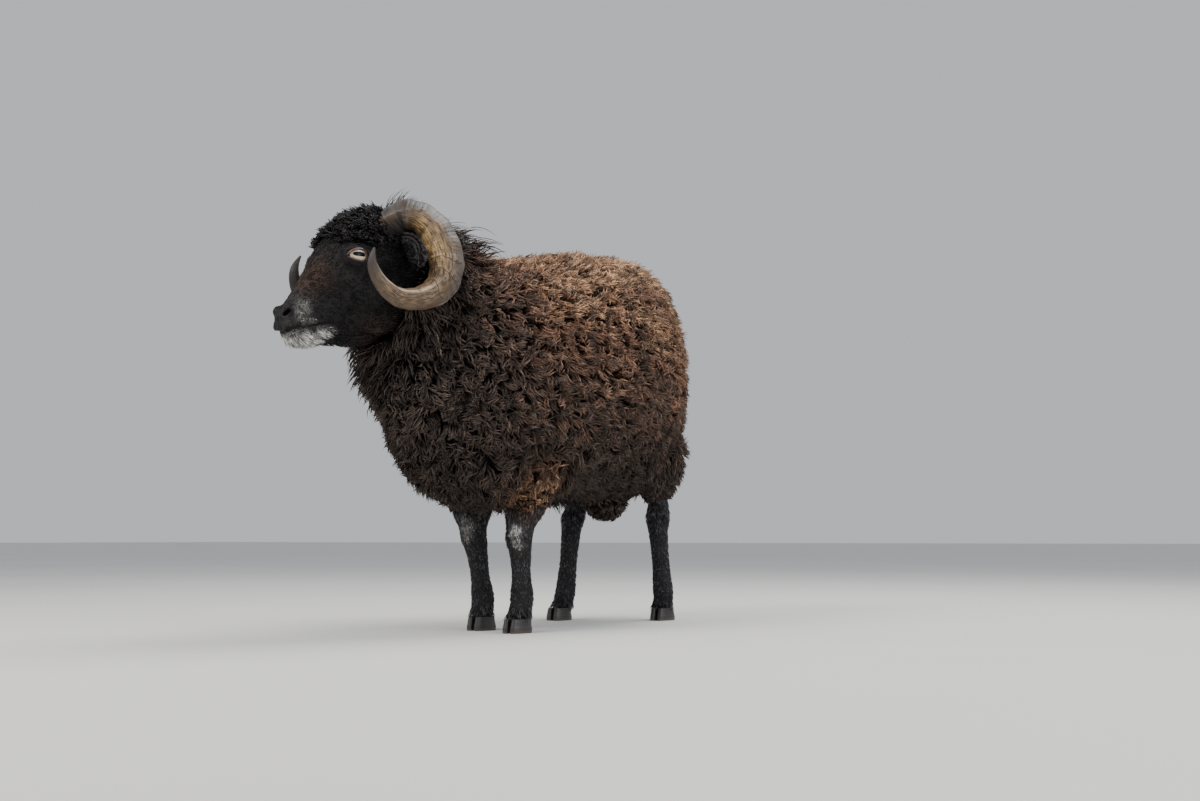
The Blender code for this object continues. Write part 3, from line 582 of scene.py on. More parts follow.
def tuft_mesh(name, verts, share, clump, rng, root, uv, colour):
    """The faces of the tufts, their unwrap and their numbers."""
    count, size = verts.shape[:2]
    rings = len(share) - 1
    shape = [(2, 1, 0)]
    for k in range(rings - 1):
        for j in range(3):
            a, b = 3 * k + j, 3 * k + (j + 1) % 3
            shape += [(a, b, b + 3), (a, b + 3, a + 3)]
    end = 3 * (rings - 1)
    shape += [(end + j, end + (j + 1) % 3, end + 3) for j in range(3)]
    faces = (np.array(shape)[None] + (np.arange(count) * size)[:, None, None]).reshape(-1, 3)
    mesh = bpy.data.meshes.new(name)
    mesh.vertices.add(count * size)
    mesh.vertices.foreach_set("co", verts.reshape(-1).astype(np.float32))
    mesh.loops.add(len(faces) * 3)
    mesh.loops.foreach_set("vertex_index", faces.reshape(-1).astype(np.int32))
    mesh.polygons.add(len(faces))
    mesh.polygons.foreach_set("loop_start", np.arange(0, len(faces) * 3, 3, dtype=np.int32))
    mesh.update(calc_edges=True)
    at = np.append(np.repeat(share[:rings], 3), 1.0)
    beside = np.append(np.tile(np.array([-0.5, 0.5, 0.0]), rings), 0.0)
    patch = np.stack([beside, at - 0.5], axis=1) * 0.003
    spots = (np.clip(uv[:, None, :], 0.002, 0.998) + patch[None]).reshape(-1, 2)
    layer = mesh.uv_layers.new(name="OFBake")
    layer.data.foreach_set("uv", spots[faces.reshape(-1)].reshape(-1).astype(np.float32))
    marked = {name: np.repeat(values, size) for name, values in zip(MARKS, marks(root))}
    own = np.repeat(rng.uniform(size=count), size)
    set_values(mesh, **marked, tip=np.tile(at, count), own=own, clump=np.repeat(clump, size))
    return dressed(placed_object(name, mesh), colour)


# Materials


def worked(kind):
    return lambda self, other=0.0: self.nodes.math(kind, self, other)


class Value:
    """A number, place or colour in a material. Working with it adds nodes."""

    def __init__(self, nodes, socket):
        self.nodes, self.socket = nodes, socket

    __add__, __sub__, __mul__ = worked("ADD"), worked("SUBTRACT"), worked("MULTIPLY")
    __truediv__, __pow__, __abs__ = worked("DIVIDE"), worked("POWER"), worked("ABSOLUTE")

    def fit(self, low, high, to_low=0.0, to_high=1.0):
        """Brought smoothly from one range to another, and kept within it."""
        settings = {"From Min": low, "From Max": high, "To Min": to_low, "To Max": to_high, "Value": self}
        return self.nodes.add("MapRange", "Result", settings, interpolation_type="SMOOTHSTEP")

    def toward(self, colour, share, kind="MIX"):
        settings = {"Factor": share, "A": self, "B": colour}
        return self.nodes.add("Mix", "Result", settings, data_type="RGBA", blend_type=kind)

    def shaded(self, shade):
        return self.toward(self.nodes.vector(shade, shade, shade), 1.0, "MULTIPLY")


class Nodes:
    """A material under the name given, and short ways to add its nodes."""

    def __init__(self, name, **constants):
        self.material = bpy.data.materials.new(name)
        self.material.use_nodes = True
        self.tree = self.material.node_tree
        self.shader = self.tree.nodes["Principled BSDF"]
        for socket, value in constants.items():
            self.put(self.shader.inputs[socket.replace("_", " ")], value)

    def put(self, target, value):
        if isinstance(value, Value):
            self.tree.links.new(value.socket, target)
        elif isinstance(value, tuple) and target.type == "RGBA":
            target.default_value = (*value, 1)
        else:
            target.default_value = value

    def add(self, kind, output, settings, **choices):
        """The output of a new node with these inputs."""
        node = self.tree.nodes.new("ShaderNode" + kind)
        for name, choice in choices.items():
            setattr(node, name, choice)
        for key, value in settings.items():
            self.put(node.inputs[key], value)
        return Value(self, node.outputs[output])

    def math(self, kind, a, b=0.0):
        return self.add("Math", 0, {0: a, 1: b}, operation=kind)

    def value(self, name):
        """A number stored with the mesh."""
        return self.add("Attribute", "Fac", {}, attribute_name=name)

    def place(self, scale=(1, 1, 1)):
        at = self.add("TexCoord", "Object", {})
        return self.add("Mapping", "Vector", {"Scale": scale, "Vector": at})

    def high(self):
        """How high above the floor the point lies."""
        return self.add("SeparateXYZ", "Z", {0: self.place()})

    def noise(self, place, scale, detail=3.0, rough=0.5, warp=0.0):
        settings = {"Scale": scale, "Detail": detail, "Roughness": rough, "Distortion": warp, "Vector": place}
        return self.add("TexNoise", "Fac", settings)

    def mix(self, share, a, b):
        return self.add("Mix", "Result", {"Factor": share, "A": a, "B": b}, data_type="RGBA")

    def vector(self, a, b, c):
        return self.add("CombineXYZ", 0, {0: a, 1: b, 2: c})

    def finish(self, colour, roughness=None, height=None, strength=0.0, distance=0.0):
        """The material with this colour, and with bump where a height is given."""
        self.put(self.shader.inputs["Base Color"], colour)
        if roughness is not None:
            self.put(self.shader.inputs["Roughness"], roughness)
        if height is not None:
            settings = {"Strength": strength, "Distance": distance, "Height": height}
            self.put(self.shader.inputs["Normal"], self.add("Bump", 0, settings))
        return self.material


DARK_WOOL = (0.022, 0.016, 0.014)
DARK_TIP = (0.112, 0.082, 0.067)
RED_ROOT = (0.062, 0.031, 0.020)
RED_TIP = (0.320, 0.160, 0.095)
# gold of the tips on the top of the back: partly sun-bleached wool, partly painted sunlight
SUNLIT_GOLD_TIP = (0.520, 0.315, 0.180)
WHITE_HAIR = (0.740, 0.720, 0.690)
FACE_BROWN = (0.085, 0.042, 0.026)
STRAY_HAIR = (0.190, 0.140, 0.098)


def coat_material(name, dark, dark_tip, pale, gloss, low=1.0):
    """Hair or wool with the mesh's marks, paler to its tips. At the belly it is darker by low, a painted
    shade under the body.
    """
    n = Nodes(name, Specular_IOR_Level=0.22)
    names = ("tip", "own", "clump", "bleached", "white", "brown")
    tip, own, clump, bleached, white, brown = map(n.value, names)
    to_tip = tip.fit(0.30, 1.0)
    base = n.mix(to_tip, dark, dark_tip)
    red = n.mix(tip.fit(0.25, 1.0), RED_ROOT, RED_TIP)
    # partly painted sunlight: the most bleached tips, on the top of the back, turn gold
    red = red.toward(SUNLIT_GOLD_TIP, bleached.fit(0.66, 1.0, 0.0, 0.9) * tip.fit(0.4, 1.0))
    uneven = n.noise(n.place(), 45.0, 2.0) + clump.fit(0.0, 1.0, -0.09, 0.09)
    colour = base.toward(red, bleached * uneven.fit(0.34, 0.60, 0.35, 1.0))
    colour = colour.toward(FACE_BROWN, brown * 0.9)
    grizzle = (white + own).fit(0.62, 1.38) * white.fit(0.40, 0.90, 0.50, 1.0)
    colour = colour.toward(WHITE_HAIR, grizzle * white.fit(0.0, 0.5))
    colour = colour.toward(STRAY_HAIR, own.fit(0.970, 0.995, 0.0, pale) * to_tip)
    shade = clump.fit(0.0, 1.0, 0.55, 1.45) * own.fit(0.0, 1.0, 0.75, 1.25) * tip.fit(0.0, 0.75, 0.35, 1.0)
    # painted shade: the coat darkened towards the belly, down to low times its colour
    if low < 1:
        shade = shade * n.high().fit(0.180, 0.310, low, 1.0)
    fibres = n.noise(n.place(), 1000.0, 2.0)
    colour = colour.shaded(shade).shaded(fibres.fit(0.34, 0.66, 0.50, 1.55))
    crimp = n.math("SINE", (tip + own) * 34.0)
    return n.finish(colour, gloss, crimp * 0.18 + fibres, 0.7, 0.0010)


def skin_material():
    """The skin under the coat, with the coat's marks, short fur on face and feet and bare lips."""
    n = Nodes("skin_and_short_fur", Specular_IOR_Level=0.18)
    bleached, white, brown, bare, pink = map(n.value, SKIN_VALUES)
    patch = n.noise(n.place(), 38.0, 3.0)
    colour = n.mix(patch.fit(0.35, 0.65), (0.009, 0.008, 0.008), (0.017, 0.015, 0.015))
    colour = colour.toward((0.055, 0.026, 0.016), bleached * 0.8)
    colour = colour.toward((0.070, 0.036, 0.023), brown * 0.9)
    grizzle = n.noise(n.place((1, 1, 0.5)), 500.0, 3.0).fit(0.38, 0.62, 0.25, 1.0)
    grizzle = grizzle * white.fit(0.0, 0.9, 0.55, 1.0)
    colour = colour.toward((0.360, 0.348, 0.332), white * grizzle)
    colour = colour.toward((0.007, 0.006, 0.007), bare)
    colour = colour.toward((0.052, 0.034, 0.031), pink)
    hairs = n.noise(n.place((1, 1, 0.35)), 900.0, 3.0, 0.6)
    pores = n.noise(n.place(), 1500.0, 2.0)
    return n.finish(colour, bare.fit(0.0, 1.0, 0.72, 0.46), hairs * 0.7 + pores * 0.3, 0.6, 0.0009)


def horn_material(name, dark_from, dark_tip):
    """Ridged horn: grey at the root, fibrous and golden inside the curl, tan below, dark to the tip. Painted
    shade under the curl, and painted highlights on the inner keel line and the outer edge.
    """
    n = Nodes(name, Coat_Weight=0.10, Coat_Roughness=0.35, Specular_IOR_Level=0.32)
    along, turn, outer, groove = map(n.value, HORN_VALUES)
    fibres = n.noise(n.vector(along * 9.0, turn * 22.0, 0.0), 3.0, 5.0, 0.65, 0.3)
    bands = n.noise(n.vector(along * 60.0, turn * 1.2, 0.0), 1.6, 4.0, 0.6, 0.4)
    colour = n.mix(fibres.fit(0.41, 0.60), (0.036, 0.021, 0.012), (0.260, 0.170, 0.092))
    golden = n.mix(fibres.fit(0.35, 0.62), (0.085, 0.047, 0.022), (0.480, 0.320, 0.150))
    blue = n.mix(bands.fit(0.35, 0.65), (0.034, 0.031, 0.031), (0.125, 0.117, 0.112))
    colour = colour.toward(blue, outer.fit(-0.05, 0.45) * along.fit(0.62, 0.40))
    colour = colour.toward(golden, outer.fit(-0.15, -0.65) * along.fit(0.52, 0.34))
    # painted shade: darker brown on the outer side of the lower half, the underside of the curl
    colour = colour.toward((0.062, 0.042, 0.028), outer.fit(0.10, 0.80) * along.fit(0.46, 0.60) * 0.6)
    # painted highlight: a pale line along the inner side of the lower half
    keel = abs(outer + 0.62).fit(0.20, 0.02) * along.fit(0.45, 0.60)
    colour = colour.toward((0.480, 0.370, 0.250), keel * 0.85)
    # painted highlight: a pale patch on the outermost side at the back of the curl
    edge = outer.fit(0.86, 0.99) * abs(along - 0.42).fit(0.16, 0.05)
    colour = colour.toward((0.500, 0.450, 0.370), edge * 0.5)
    root = n.mix(bands.fit(0.38, 0.62), (0.014, 0.013, 0.013), (0.075, 0.069, 0.064))
    colour = colour.toward(root, (along + (fibres - 0.5) * 0.10).fit(0.235, 0.140))
    colour = colour.toward(dark_tip, along.fit(dark_from, dark_from + 0.18, 0.0, 0.94))
    grooves = groove.fit(0.55, 1.0) * along.fit(0.75, 0.30, 0.10, 0.42)
    colour = colour.toward((0.045, 0.036, 0.030), grooves)
    cracks = n.noise(n.vector(along * 46.0, turn * 2.0, 3.0), 1.0, 2.0, 0.4, 0.6)
    cracks = abs(cracks - 0.60).fit(0.022, 0.004)
    wavy = along + (n.noise(n.vector(turn * 3.0, 7.0, 0.0), 2.0, 3.0) - 0.5) * 0.05
    for at in (0.395, 0.452, 0.530):
        split = abs(wavy - at).fit(0.0030, 0.0008) * outer.fit(0.85, 0.45)
        colour = colour.toward((0.018, 0.013, 0.010), split * 0.9)
    lower = along.fit(0.34, 0.42) * along.fit(0.66, 0.58)
    colour = colour.toward((0.040, 0.028, 0.020), cracks * lower * 0.12)
    stain = n.noise(n.place(), 38.0, 3.0, 0.5).fit(0.46, 0.66, 0.0, 0.55)
    colour = colour.toward((0.085, 0.048, 0.026), stain)
    dirt = n.noise(n.place(), 120.0, 4.0, 0.65).fit(0.56, 0.70, 0.0, 0.6)
    colour = colour.toward((0.038, 0.026, 0.018), dirt)
    height = fibres * 0.55 + bands * 0.60 - cracks * 0.15
    return n.finish(colour, fibres.fit(0.3, 0.7, 0.34, 0.58), height, 0.55, 0.0012)


def claw_material():
    n = Nodes("claw_horn")
    high = n.value("high")
    rings = n.noise(n.vector(0.0, 0.0, high * 900.0), 0.55, 2.0)
    scuffs = n.noise(n.place((1, 1, 5)), 160.0, 4.0, 0.6)
    colour = n.mix(rings.fit(0.35, 0.65), (0.010, 0.009, 0.009), (0.034, 0.029, 0.027))
    colour = colour.toward((0.110, 0.086, 0.064), high.fit(0.005, 0.0005, 0.0, 0.5))
    colour = colour.toward((0.120, 0.100, 0.082), scuffs.fit(0.58, 0.80, 0.0, 0.4))
    return n.finish(colour, scuffs.fit(0.4, 0.7, 0.36, 0.66), rings + scuffs * 0.4, 0.45, 0.0009)


def eye_material():
    """Cream iris with fine streaks, a level slot for a pupil, and a wet surface."""
    n = Nodes("eyeball", Coat_Weight=0.06, Coat_Roughness=0.02, Specular_IOR_Level=0.12)
    ahead, high = n.value("ahead"), n.value("high")
    far = n.math("SQRT", ahead**2.0 + (high * 1.25) ** 2.0)
    rays = n.vector(n.math("ARCTAN2", high, ahead) * 5.0, far * 260.0, 0.0)
    streaks = n.noise(rays, 2.6, 4.0, 0.6)
    iris = n.mix(streaks.fit(0.30, 0.70), (0.420, 0.300, 0.150), (0.900, 0.830, 0.640))
    iris = iris.toward((0.330, 0.215, 0.105), far.fit(0.0056, 0.0092, 0.0, 0.55))
    colour = iris.toward((0.090, 0.055, 0.045), far.fit(0.0096, 0.0106))
    slot = (abs(ahead) / 0.0080) ** 4.0 + (abs(high - 0.0008) / 0.0026) ** 2.2
    return n.finish(colour.toward((0.006, 0.006, 0.010), slot.fit(1.15, 0.85)), 0.16)


def rim_material():
    n = Nodes("eyelid_rim", Coat_Weight=0.4, Coat_Roughness=0.12)
    uneven = n.noise(n.place(), 600.0, 3.0)
    colour = n.mix(uneven.fit(0.35, 0.65), (0.040, 0.022, 0.019), (0.110, 0.062, 0.052))
    return n.finish(colour, 0.30, n.noise(n.place(), 1400.0, 2.0), 0.4, 0.0004)


def floor_material():
    n = Nodes("studio_floor")
    cloud = n.noise(n.place(), 1.3, 2.0)
    return n.finish(n.mix(cloud.fit(0.3, 0.7), (0.640, 0.635, 0.620), (0.670, 0.665, 0.650)), 0.85)


# The skin


def both_sides(maker):
    return [maker(1), maker(-1)]


def body_skin():
    inner_head = Head(INNER_HEAD_DEPTH)
    lofts = []
    for name in ("trunk", "tail", "scrotum", *LEGS):
        limb = LIMBS[name]
        first = 0.25 if name == "trunk" else 0.0
        lofts.append(loft(name, limb.grid(first, limb.end, 60, 56)))
    lofts.append(loft("head", inner_head.grid(0, inner_head.end, 40, 32)))
    return remeshed(join(lofts[0], lofts[1:]), BODY_VOXEL, 5)


def head_forms(side):
    """The soft forms on one side of the head: where they lie and their half sizes."""
    forms = (
        ((0.1020, 0.0350, 0.4500), (0.0190, 0.0100, 0.0075)),
        ((0.1080, 0.0370, 0.4160), (0.0200, 0.0080, 0.0060)),
        ((0.0780, 0.0340, 0.3880), (0.0360, 0.0170, 0.0400)),
        ((0.1300, 0.0210, 0.3700), (0.0300, 0.0120, 0.0260)),
        ((0.1755, 0.0125, 0.3690), (0.0090, 0.0072, 0.0075)),
        ((0.1690, 0.0110, 0.3530), (0.0150, 0.0110, 0.0080)),
        ((0.1700, 0.0060, 0.3610), (0.0150, 0.0120, 0.0120)),
        ((0.1560, 0.0080, 0.3395), (0.0150, 0.0100, 0.0065)),
    )
    return [
        ellipsoid("form", head_point(forward, left * side, height), HEAD_AXES, sizes)
        for (forward, left, height), sizes in forms
    ]


def eye_place(side):
    forward, left, height = EYE_AT
    return head_point(forward, left * side, height)


def lids(side):
    return ellipsoid("lids", eye_place(side), HEAD_AXES, (0.0160, 0.0150, 0.0150))


def nostril(side):
    slit = head_point(-0.80, 0.0, 0.60).normalized()
    inward = head_point(-0.45, -0.90 * side, 0.0)
    inward = (inward - slit * inward.dot(slit)).normalized()
    at = head_point(0.1800, 0.0135 * side, 0.3655)
    return ellipsoid("nostril", at, (slit, slit.cross(inward), inward), (0.0068, 0.0022, 0.0080), 32, 20)


def head_skin():
    head = loft("head_skin", LIMBS["head"].grid(0, LIMBS["head"].end, 90, 64))
    forms = head_forms(1) + head_forms(-1) + both_sides(lids)
    head = remeshed(join(head, forms), FORM_VOXEL, 6)
    difference(head, both_sides(nostril))
    head = remeshed(head, HEAD_VOXEL, 2)
    carve_mouth(head)
    open_lids(head)
    points, outs = points_and_outs(head)
    move_to(head, points - outs * (crown_of(points) * CROWN_DEPTH)[:, None])
    return head


def eye_reach(forward, height):
    """Distance from the middle of the opening between the lids, 1 at its edge."""
    tilt = math.radians(4)
    f, h = forward - EYE_AT[0], height - EYE_AT[2]
    along = f * math.cos(tilt) + h * math.sin(tilt)
    across = h * math.cos(tilt) - f * math.sin(tilt)
    return np.hypot(along / (0.0116 + 0.0016 * (along > 0)), across / 0.0069)


def from_eye(forward, height):
    return np.hypot(forward - EYE_AT[0], (height - EYE_AT[2]) * 1.3)


def open_lids(head):
    """Sinks the skin behind the eyeballs, and leaves lids with a fold over the upper one."""
    points = vectors(head, "co")
    forward, left, height = in_head(points)
    reach = eye_reach(forward, height)
    side = smooth(np.abs(left), *EYE_SIDE)
    depth = -0.0095 * smooth(reach, 1.06, 0.90)
    depth += 0.0011 * np.exp(-(((reach - 1.22) / 0.13) ** 2))
    crease = np.exp(-(((reach - 1.62) / 0.13) ** 2))
    depth -= 0.0014 * crease * smooth(height, EYE_AT[2] - 0.002, EYE_AT[2] + 0.004)
    inward = np.zeros_like(points)
    inward[:, 0] = np.sign(left) * depth * side
    points = points + inward @ HEAD_SPIN.T
    lid_radius = EYE_RADIUS + LID_WALL
    for turned in (1, -1):
        middle = np.array(HEAD_TO_WORLD @ eye_place(turned))
        away = points - middle
        far = np.linalg.norm(away, axis=1)
        lid = (reach > 1.0) & (left * turned > 0) & (far < lid_radius)
        points[lid] = middle + away[lid] / far[lid, None] * lid_radius
    move_to(head, points)


def mouth_distance(forward, left, height):
    """How far above the line of the mouth a point lies, and how far round the muzzle, from -1 to 1."""
    turn = np.arctan2(left / 0.0225, (forward - 0.148) / 0.037) / math.radians(112)
    line = 0.3440 + 0.0130 * np.abs(turn) ** 1.4
    return height - line, turn


def carve_mouth(head):
    """Presses the line of the mouth in, and lets the lips stand out beside it."""
    points, outs = points_and_outs(head)
    forward, left, height = in_head(points)
    above, turn = mouth_distance(forward, left, height)
    here = smooth(np.abs(turn), 1.02, 0.90) * smooth(forward, 0.115, 0.125)
    press = -0.0030 * np.exp(-((above / 0.0011) ** 2))
    press += 0.0008 * np.exp(-(((np.abs(above) - 0.0032) / 0.0020) ** 2))
    cleft = -0.0014 * np.exp(-((left / 0.0011) ** 2)) * smooth(forward, 0.172, 0.178)
    cleft = cleft * smooth(height, 0.372, 0.366)
    press = press * here + cleft * (above > 0)
    move_to(head, points + outs * press[:, None])


def ear_skin(side):
    """The leaf of an ear, rolled to a cup at its root."""
    root, tip = head_point(*EAR_ROOT), head_point(*EAR_TIP)
    axis = (tip - root).normalized()
    open_to = head_point(*EAR_OPEN_TO)
    open_to = (open_to - axis * open_to.dot(axis)).normalized()
    across = axis.cross(open_to)
    made = bmesh.new()
    grid = []
    for share in spread(0, 1, 40):
        half = EAR_WIDTH / 2 * math.sin(math.pi * (0.15 + 0.80 * share)) ** 0.8
        bend = math.radians(170 - 110 * share)
        radius = 1.3 * half / bend
        line = []
        for turn in spread(-bend / 2, bend / 2, 28):
            point = root + axis * (tip - root).length * share + across * (radius * math.sin(turn) * 1.5)
            point -= open_to * (radius * math.cos(turn))
            line.append(made.verts.new(from_head(point, side)))
        grid.append(line)
    for a, b in zip(grid, grid[1:]):
        for j in range(len(a) - 1):
            made.faces.new((a[j], a[j + 1], b[j + 1], b[j]))
    ear = finished(made, "ear_skin")
    wall = ear.modifiers.new("wall", "SOLIDIFY")
    wall.thickness = EAR_WALL * 0.7
    wall.offset = 0
    return baked(ear)


def crown_of(points):
    """How far a point of the head lies in the curls of the forehead and the poll, 0 to 1."""
    forward, _, height = in_head(points)
    crown = smooth(height - 0.12 * (0.100 - forward), 0.4300, 0.4620)
    return crown * smooth(forward, 0.138, 0.108) * smooth(from_eye(forward, height), 0.0165, 0.0235)


def head_bare(points):
    """Where the skin of the head is bare: nose, lips, nostrils and lid edges. Also the lid edges alone."""
    forward, left, height = in_head(points)
    above, _ = mouth_distance(forward, left, height)
    nose = blob((forward, height), (0.184, 0.3640), (0.0065, 0.0085)) * smooth(height, 0.3525, 0.3565)
    nostrils = np.exp(-(((forward - 0.180) / 0.008) ** 2 + ((height - 0.3655) / 0.008) ** 2))
    lid_edges = smooth(from_eye(forward, height), 0.0160, 0.0130) * smooth(np.abs(left), *EYE_SIDE)
    bare = (
        smooth(np.abs(above), 0.0019, 0.0008) * smooth(forward, 0.132, 0.142),
        nose,
        smooth(nostrils, 0.45, 0.75) * smooth(np.abs(left), 0.006, 0.010),
        lid_edges * 0.8,
    )
    return np.max(bare, axis=0), lid_edges


def finish_skin(skin, bare, pink):
    set_values(skin.data, **dict(zip(SKIN_VALUES, (*marks(vectors(skin, "co")), bare, pink))))


def thin_under_wool(body):
    points = vectors(body, "co")
    covered = [int(k) for k in np.nonzero(points[:, 2] > SKIN_THINNED_ABOVE)[0]]
    body.vertex_groups.new(name="covered").add(covered, 1.0, "REPLACE")
    thin = body.modifiers.new("thin", "DECIMATE")
    thin.ratio = 0.5
    thin.vertex_group = "covered"
    baked(body)


def join_skins(skins, material):
    """One skin of all the parts, with the numbers stored on each kept."""
    kept = {name: [] for name in SKIN_VALUES}
    for obj in skins:
        for name in SKIN_VALUES:
            values = np.empty(len(obj.data.vertices), np.float32)
            obj.data.attributes[name].data.foreach_get("value", values)
            kept[name].append(values)
    skin = join(skins[0], skins[1:])
    skin.name = "skin"
    for name, values in kept.items():
        old = skin.data.attributes.get(name)
        if old:
            skin.data.attributes.remove(old)
        set_values(skin.data, **{name: np.concatenate(values)})
    skin.data.materials.clear()
    return dressed(skin, material)


# Where the coat grows


def search_tree(places):
    tree = KDTree(len(places))
    for k, place in enumerate(places):
        tree.insert(place, k)
    tree.balance()
    return tree


def on_limbs(points, names):
    """The limb of each point and its place on the unwrap of that limb."""
    count, sides = 110, 96
    entries = []
    for name in names:
        limb = LIMBS[name]
        for i, ring in enumerate(limb.grid(0.0, limb.end, count, sides)):
            entries += [(p, name, (j / sides, i / (count - 1))) for j, p in enumerate(ring)]
    tree = search_tree([entry[0] for entry in entries])
    found = [entries[tree.find(Vector(p))[1]] for p in points]
    return np.array([f[1] for f in found]), np.array([f[2] for f in found])


def gather(root, out, rng, every, strength, rise):
    """Pulls the tips together into locks. Returns the pull of each tuft and a number for its lock."""
    count = max(len(root) // every, 1)
    chosen = rng.choice(len(root), count, replace=False)
    tree = search_tree([Vector(root[i]) for i in chosen])
    near = np.array([tree.find(Vector(p))[1] for p in root])
    pull = (root[chosen][near] - root) * strength
    high = rng.normal(size=count)[near]
    own = rng.uniform(size=count)[near]
    return pull + out * (np.clip(high, -1.5, 1.5) * rise)[:, None], own


def scattered(lie, out, clump, reach):
    """The lie turned this way and that from clump to clump, so that the wool curls every way."""
    turn = clump * 2 * np.pi * 7
    beside = np.cross(out, lie)
    return unit(lie * (1 + reach * np.cos(turn))[:, None] + beside * (reach * np.sin(turn))[:, None])


def in_parts(name, material, rng, arrays, style):
    """A coat in as many pieces as keep each under its share of triangles, from front to back."""
    triangles = 6 * style["rings"] - 2
    count = math.ceil(len(arrays["root"]) * triangles / MOST_IN_A_PIECE)
    order = np.argsort(arrays["root"][:, 1], kind="stable")
    parts = [{key: rows[chosen] for key, rows in arrays.items()} for chosen in np.array_split(order, count)]
    return [
        tufts(f"{name}_{k + 1}", rng=rng, colour=material, **part, **style)
        for k, part in enumerate(parts)
    ]


def trunk_coat(points, outs, params, wool, mane_hair):
    """The curly fleece of the trunk and the longer locks of the neck."""
    rng = np.random.RandomState(11)
    place = in_trunk(points)
    top, breast = np.array((0.0, -0.160, 0.500)), np.array((0.0, -0.270, 0.200))
    towards = np.array((0.0, -(top[2] - breast[2]), -(breast[1] - top[1])))
    towards = towards / np.linalg.norm(towards)
    ahead = (np.stack(place, 1) - top) @ towards
    mane = ahead + rng.normal(size=len(points)) * 0.018 > 0.092
    lie = np.stack([0.25 * np.sign(place[0]), np.full(len(points), 0.45), np.full(len(points), -1.0)], 1)
    lie[:, 1] += 0.8 * smooth(outs[:, 2], 0.5, 0.95)
    sway = np.stack([waves(points, 0.045, 60 + k) for k in range(3)], 1)
    lie = tangent(lie + sway * 0.7 + rng.normal(size=lie.shape) * 0.22, outs)
    parted = waves(points, 0.040, 70)

    f = ~mane
    _, y, z = place[:, f]
    root, out = points[f], outs[f]
    pull, clump = gather(root, out, rng, 7, 0.46, 0.0018)
    combed = smooth(z, 0.34, 0.46) * smooth(y, -0.02, 0.10)
    low = smooth(z, 0.25, 0.19)
    long = 0.0265 + 0.005 * low + 0.002 * smooth(y, 0.02, 0.12)
    fleece = {
        "root": root,
        "out": out,
        "lie": scattered(lie[f], out, clump, 1.10 - 0.65 * combed),
        "uv": params[f],
        "pull": pull,
        "clump": clump,
        "length": long * (1 + 0.10 * parted[f]) * rng.uniform(0.85, 1.15, len(root)),
        "width": 0.0034 * rng.uniform(0.75, 1.25, len(root)),
        "curl": 0.0032 * rng.uniform(0.5, 1.5, len(root)) * (1 - 0.3 * low),
    }
    style = {"flat": 0.75, "lean": (4, 70), "turns": 1.1, "rings": 3, "sunk": 0.002, "blunt": 4.0}
    found = in_parts("fleece_coat", wool, rng, fleece, style)

    root, out = points[mane], outs[mane]
    behind = np.array(HEAD_TO_WORLD @ head_point(0.0, 0.0, 0.43))
    long = smooth(np.linalg.norm((root - behind) * np.array((0.8, 1.0, 0.8)), axis=1), 0.14, 0.06)
    pull, clump = gather(root, out, rng, 9, 0.58, 0.0026)
    down = np.array([[0.0, 0.40, -1.0]]) + sway[mane] * 0.5 + rng.normal(size=root.shape) * 0.16
    locks = {
        "root": root,
        "out": out,
        "lie": scattered(tangent(down, out), out, clump, 0.75 * (1 - long)),
        "uv": params[mane],
        "pull": pull,
        "clump": clump,
        "length": (0.0285 + 0.018 * long) * (1 + 0.12 * parted[mane]) * rng.uniform(0.8, 1.2, len(root)),
        "width": 0.0038 * rng.uniform(0.7, 1.3, len(root)) * (1 - 0.25 * long),
        "curl": 0.0028 * rng.uniform(0.5, 1.3, len(root)) * (1 - 0.35 * long),
    }
    style = {"flat": 0.65, "lean": (10, 66), "turns": 1.2, "rings": 5, "sunk": 0.002, "blunt": 3.0}
    return found + in_parts("mane_coat", mane_hair, rng, locks, style)


def limb_coat(name, grown, chosen, material, length, width, lean, curl, turns, rings, seed, many=1):
    """Wool or hair hanging down a limb, from the chosen roots of all that are grown."""
    rng = np.random.RandomState(seed)
    root, out, uv = (np.repeat(rows[chosen], many, axis=0) for rows in grown)
    if many > 1:
        root = root + tangent(rng.normal(size=root.shape), out) * rng.uniform(0, 0.0022, (len(root), 1))
    long = np.repeat(length * np.ones(chosen.sum()), many)
    pull, clump = gather(root, out, rng, 8, 0.5, 0.0)
    lie = tangent(np.array([[0.0, 0.12, -1.0]]) + rng.normal(size=root.shape) * 0.14, out)
    return tufts(
        name, root, out, lie, uv, rng, clump=clump, colour=material,
        length=long * rng.uniform(0.8, 1.2, len(root)), width=width * rng.uniform(0.75, 1.25, len(root)),
        flat=0.6, lean=lean, curl=curl, turns=turns, pull=pull, rings=rings, sunk=0.0008,
        blunt=4.0 if rings > 2 else 2.2,
    )


SHORT_HAIR = {"flat": 0.5, "curl": 0.0003, "turns": 0.4, "rings": 2, "blunt": 2.2}


def off_the_horns(points):
    rows = [HORN_START + k / 60 * 3 for k in range(61)]
    roots = search_tree([from_head(horn_middle(at, side), side) for side in (1, -1) for at in rows])
    return np.array([roots.find(point)[2] for point in points]) > HAIR_OFF_HORNS


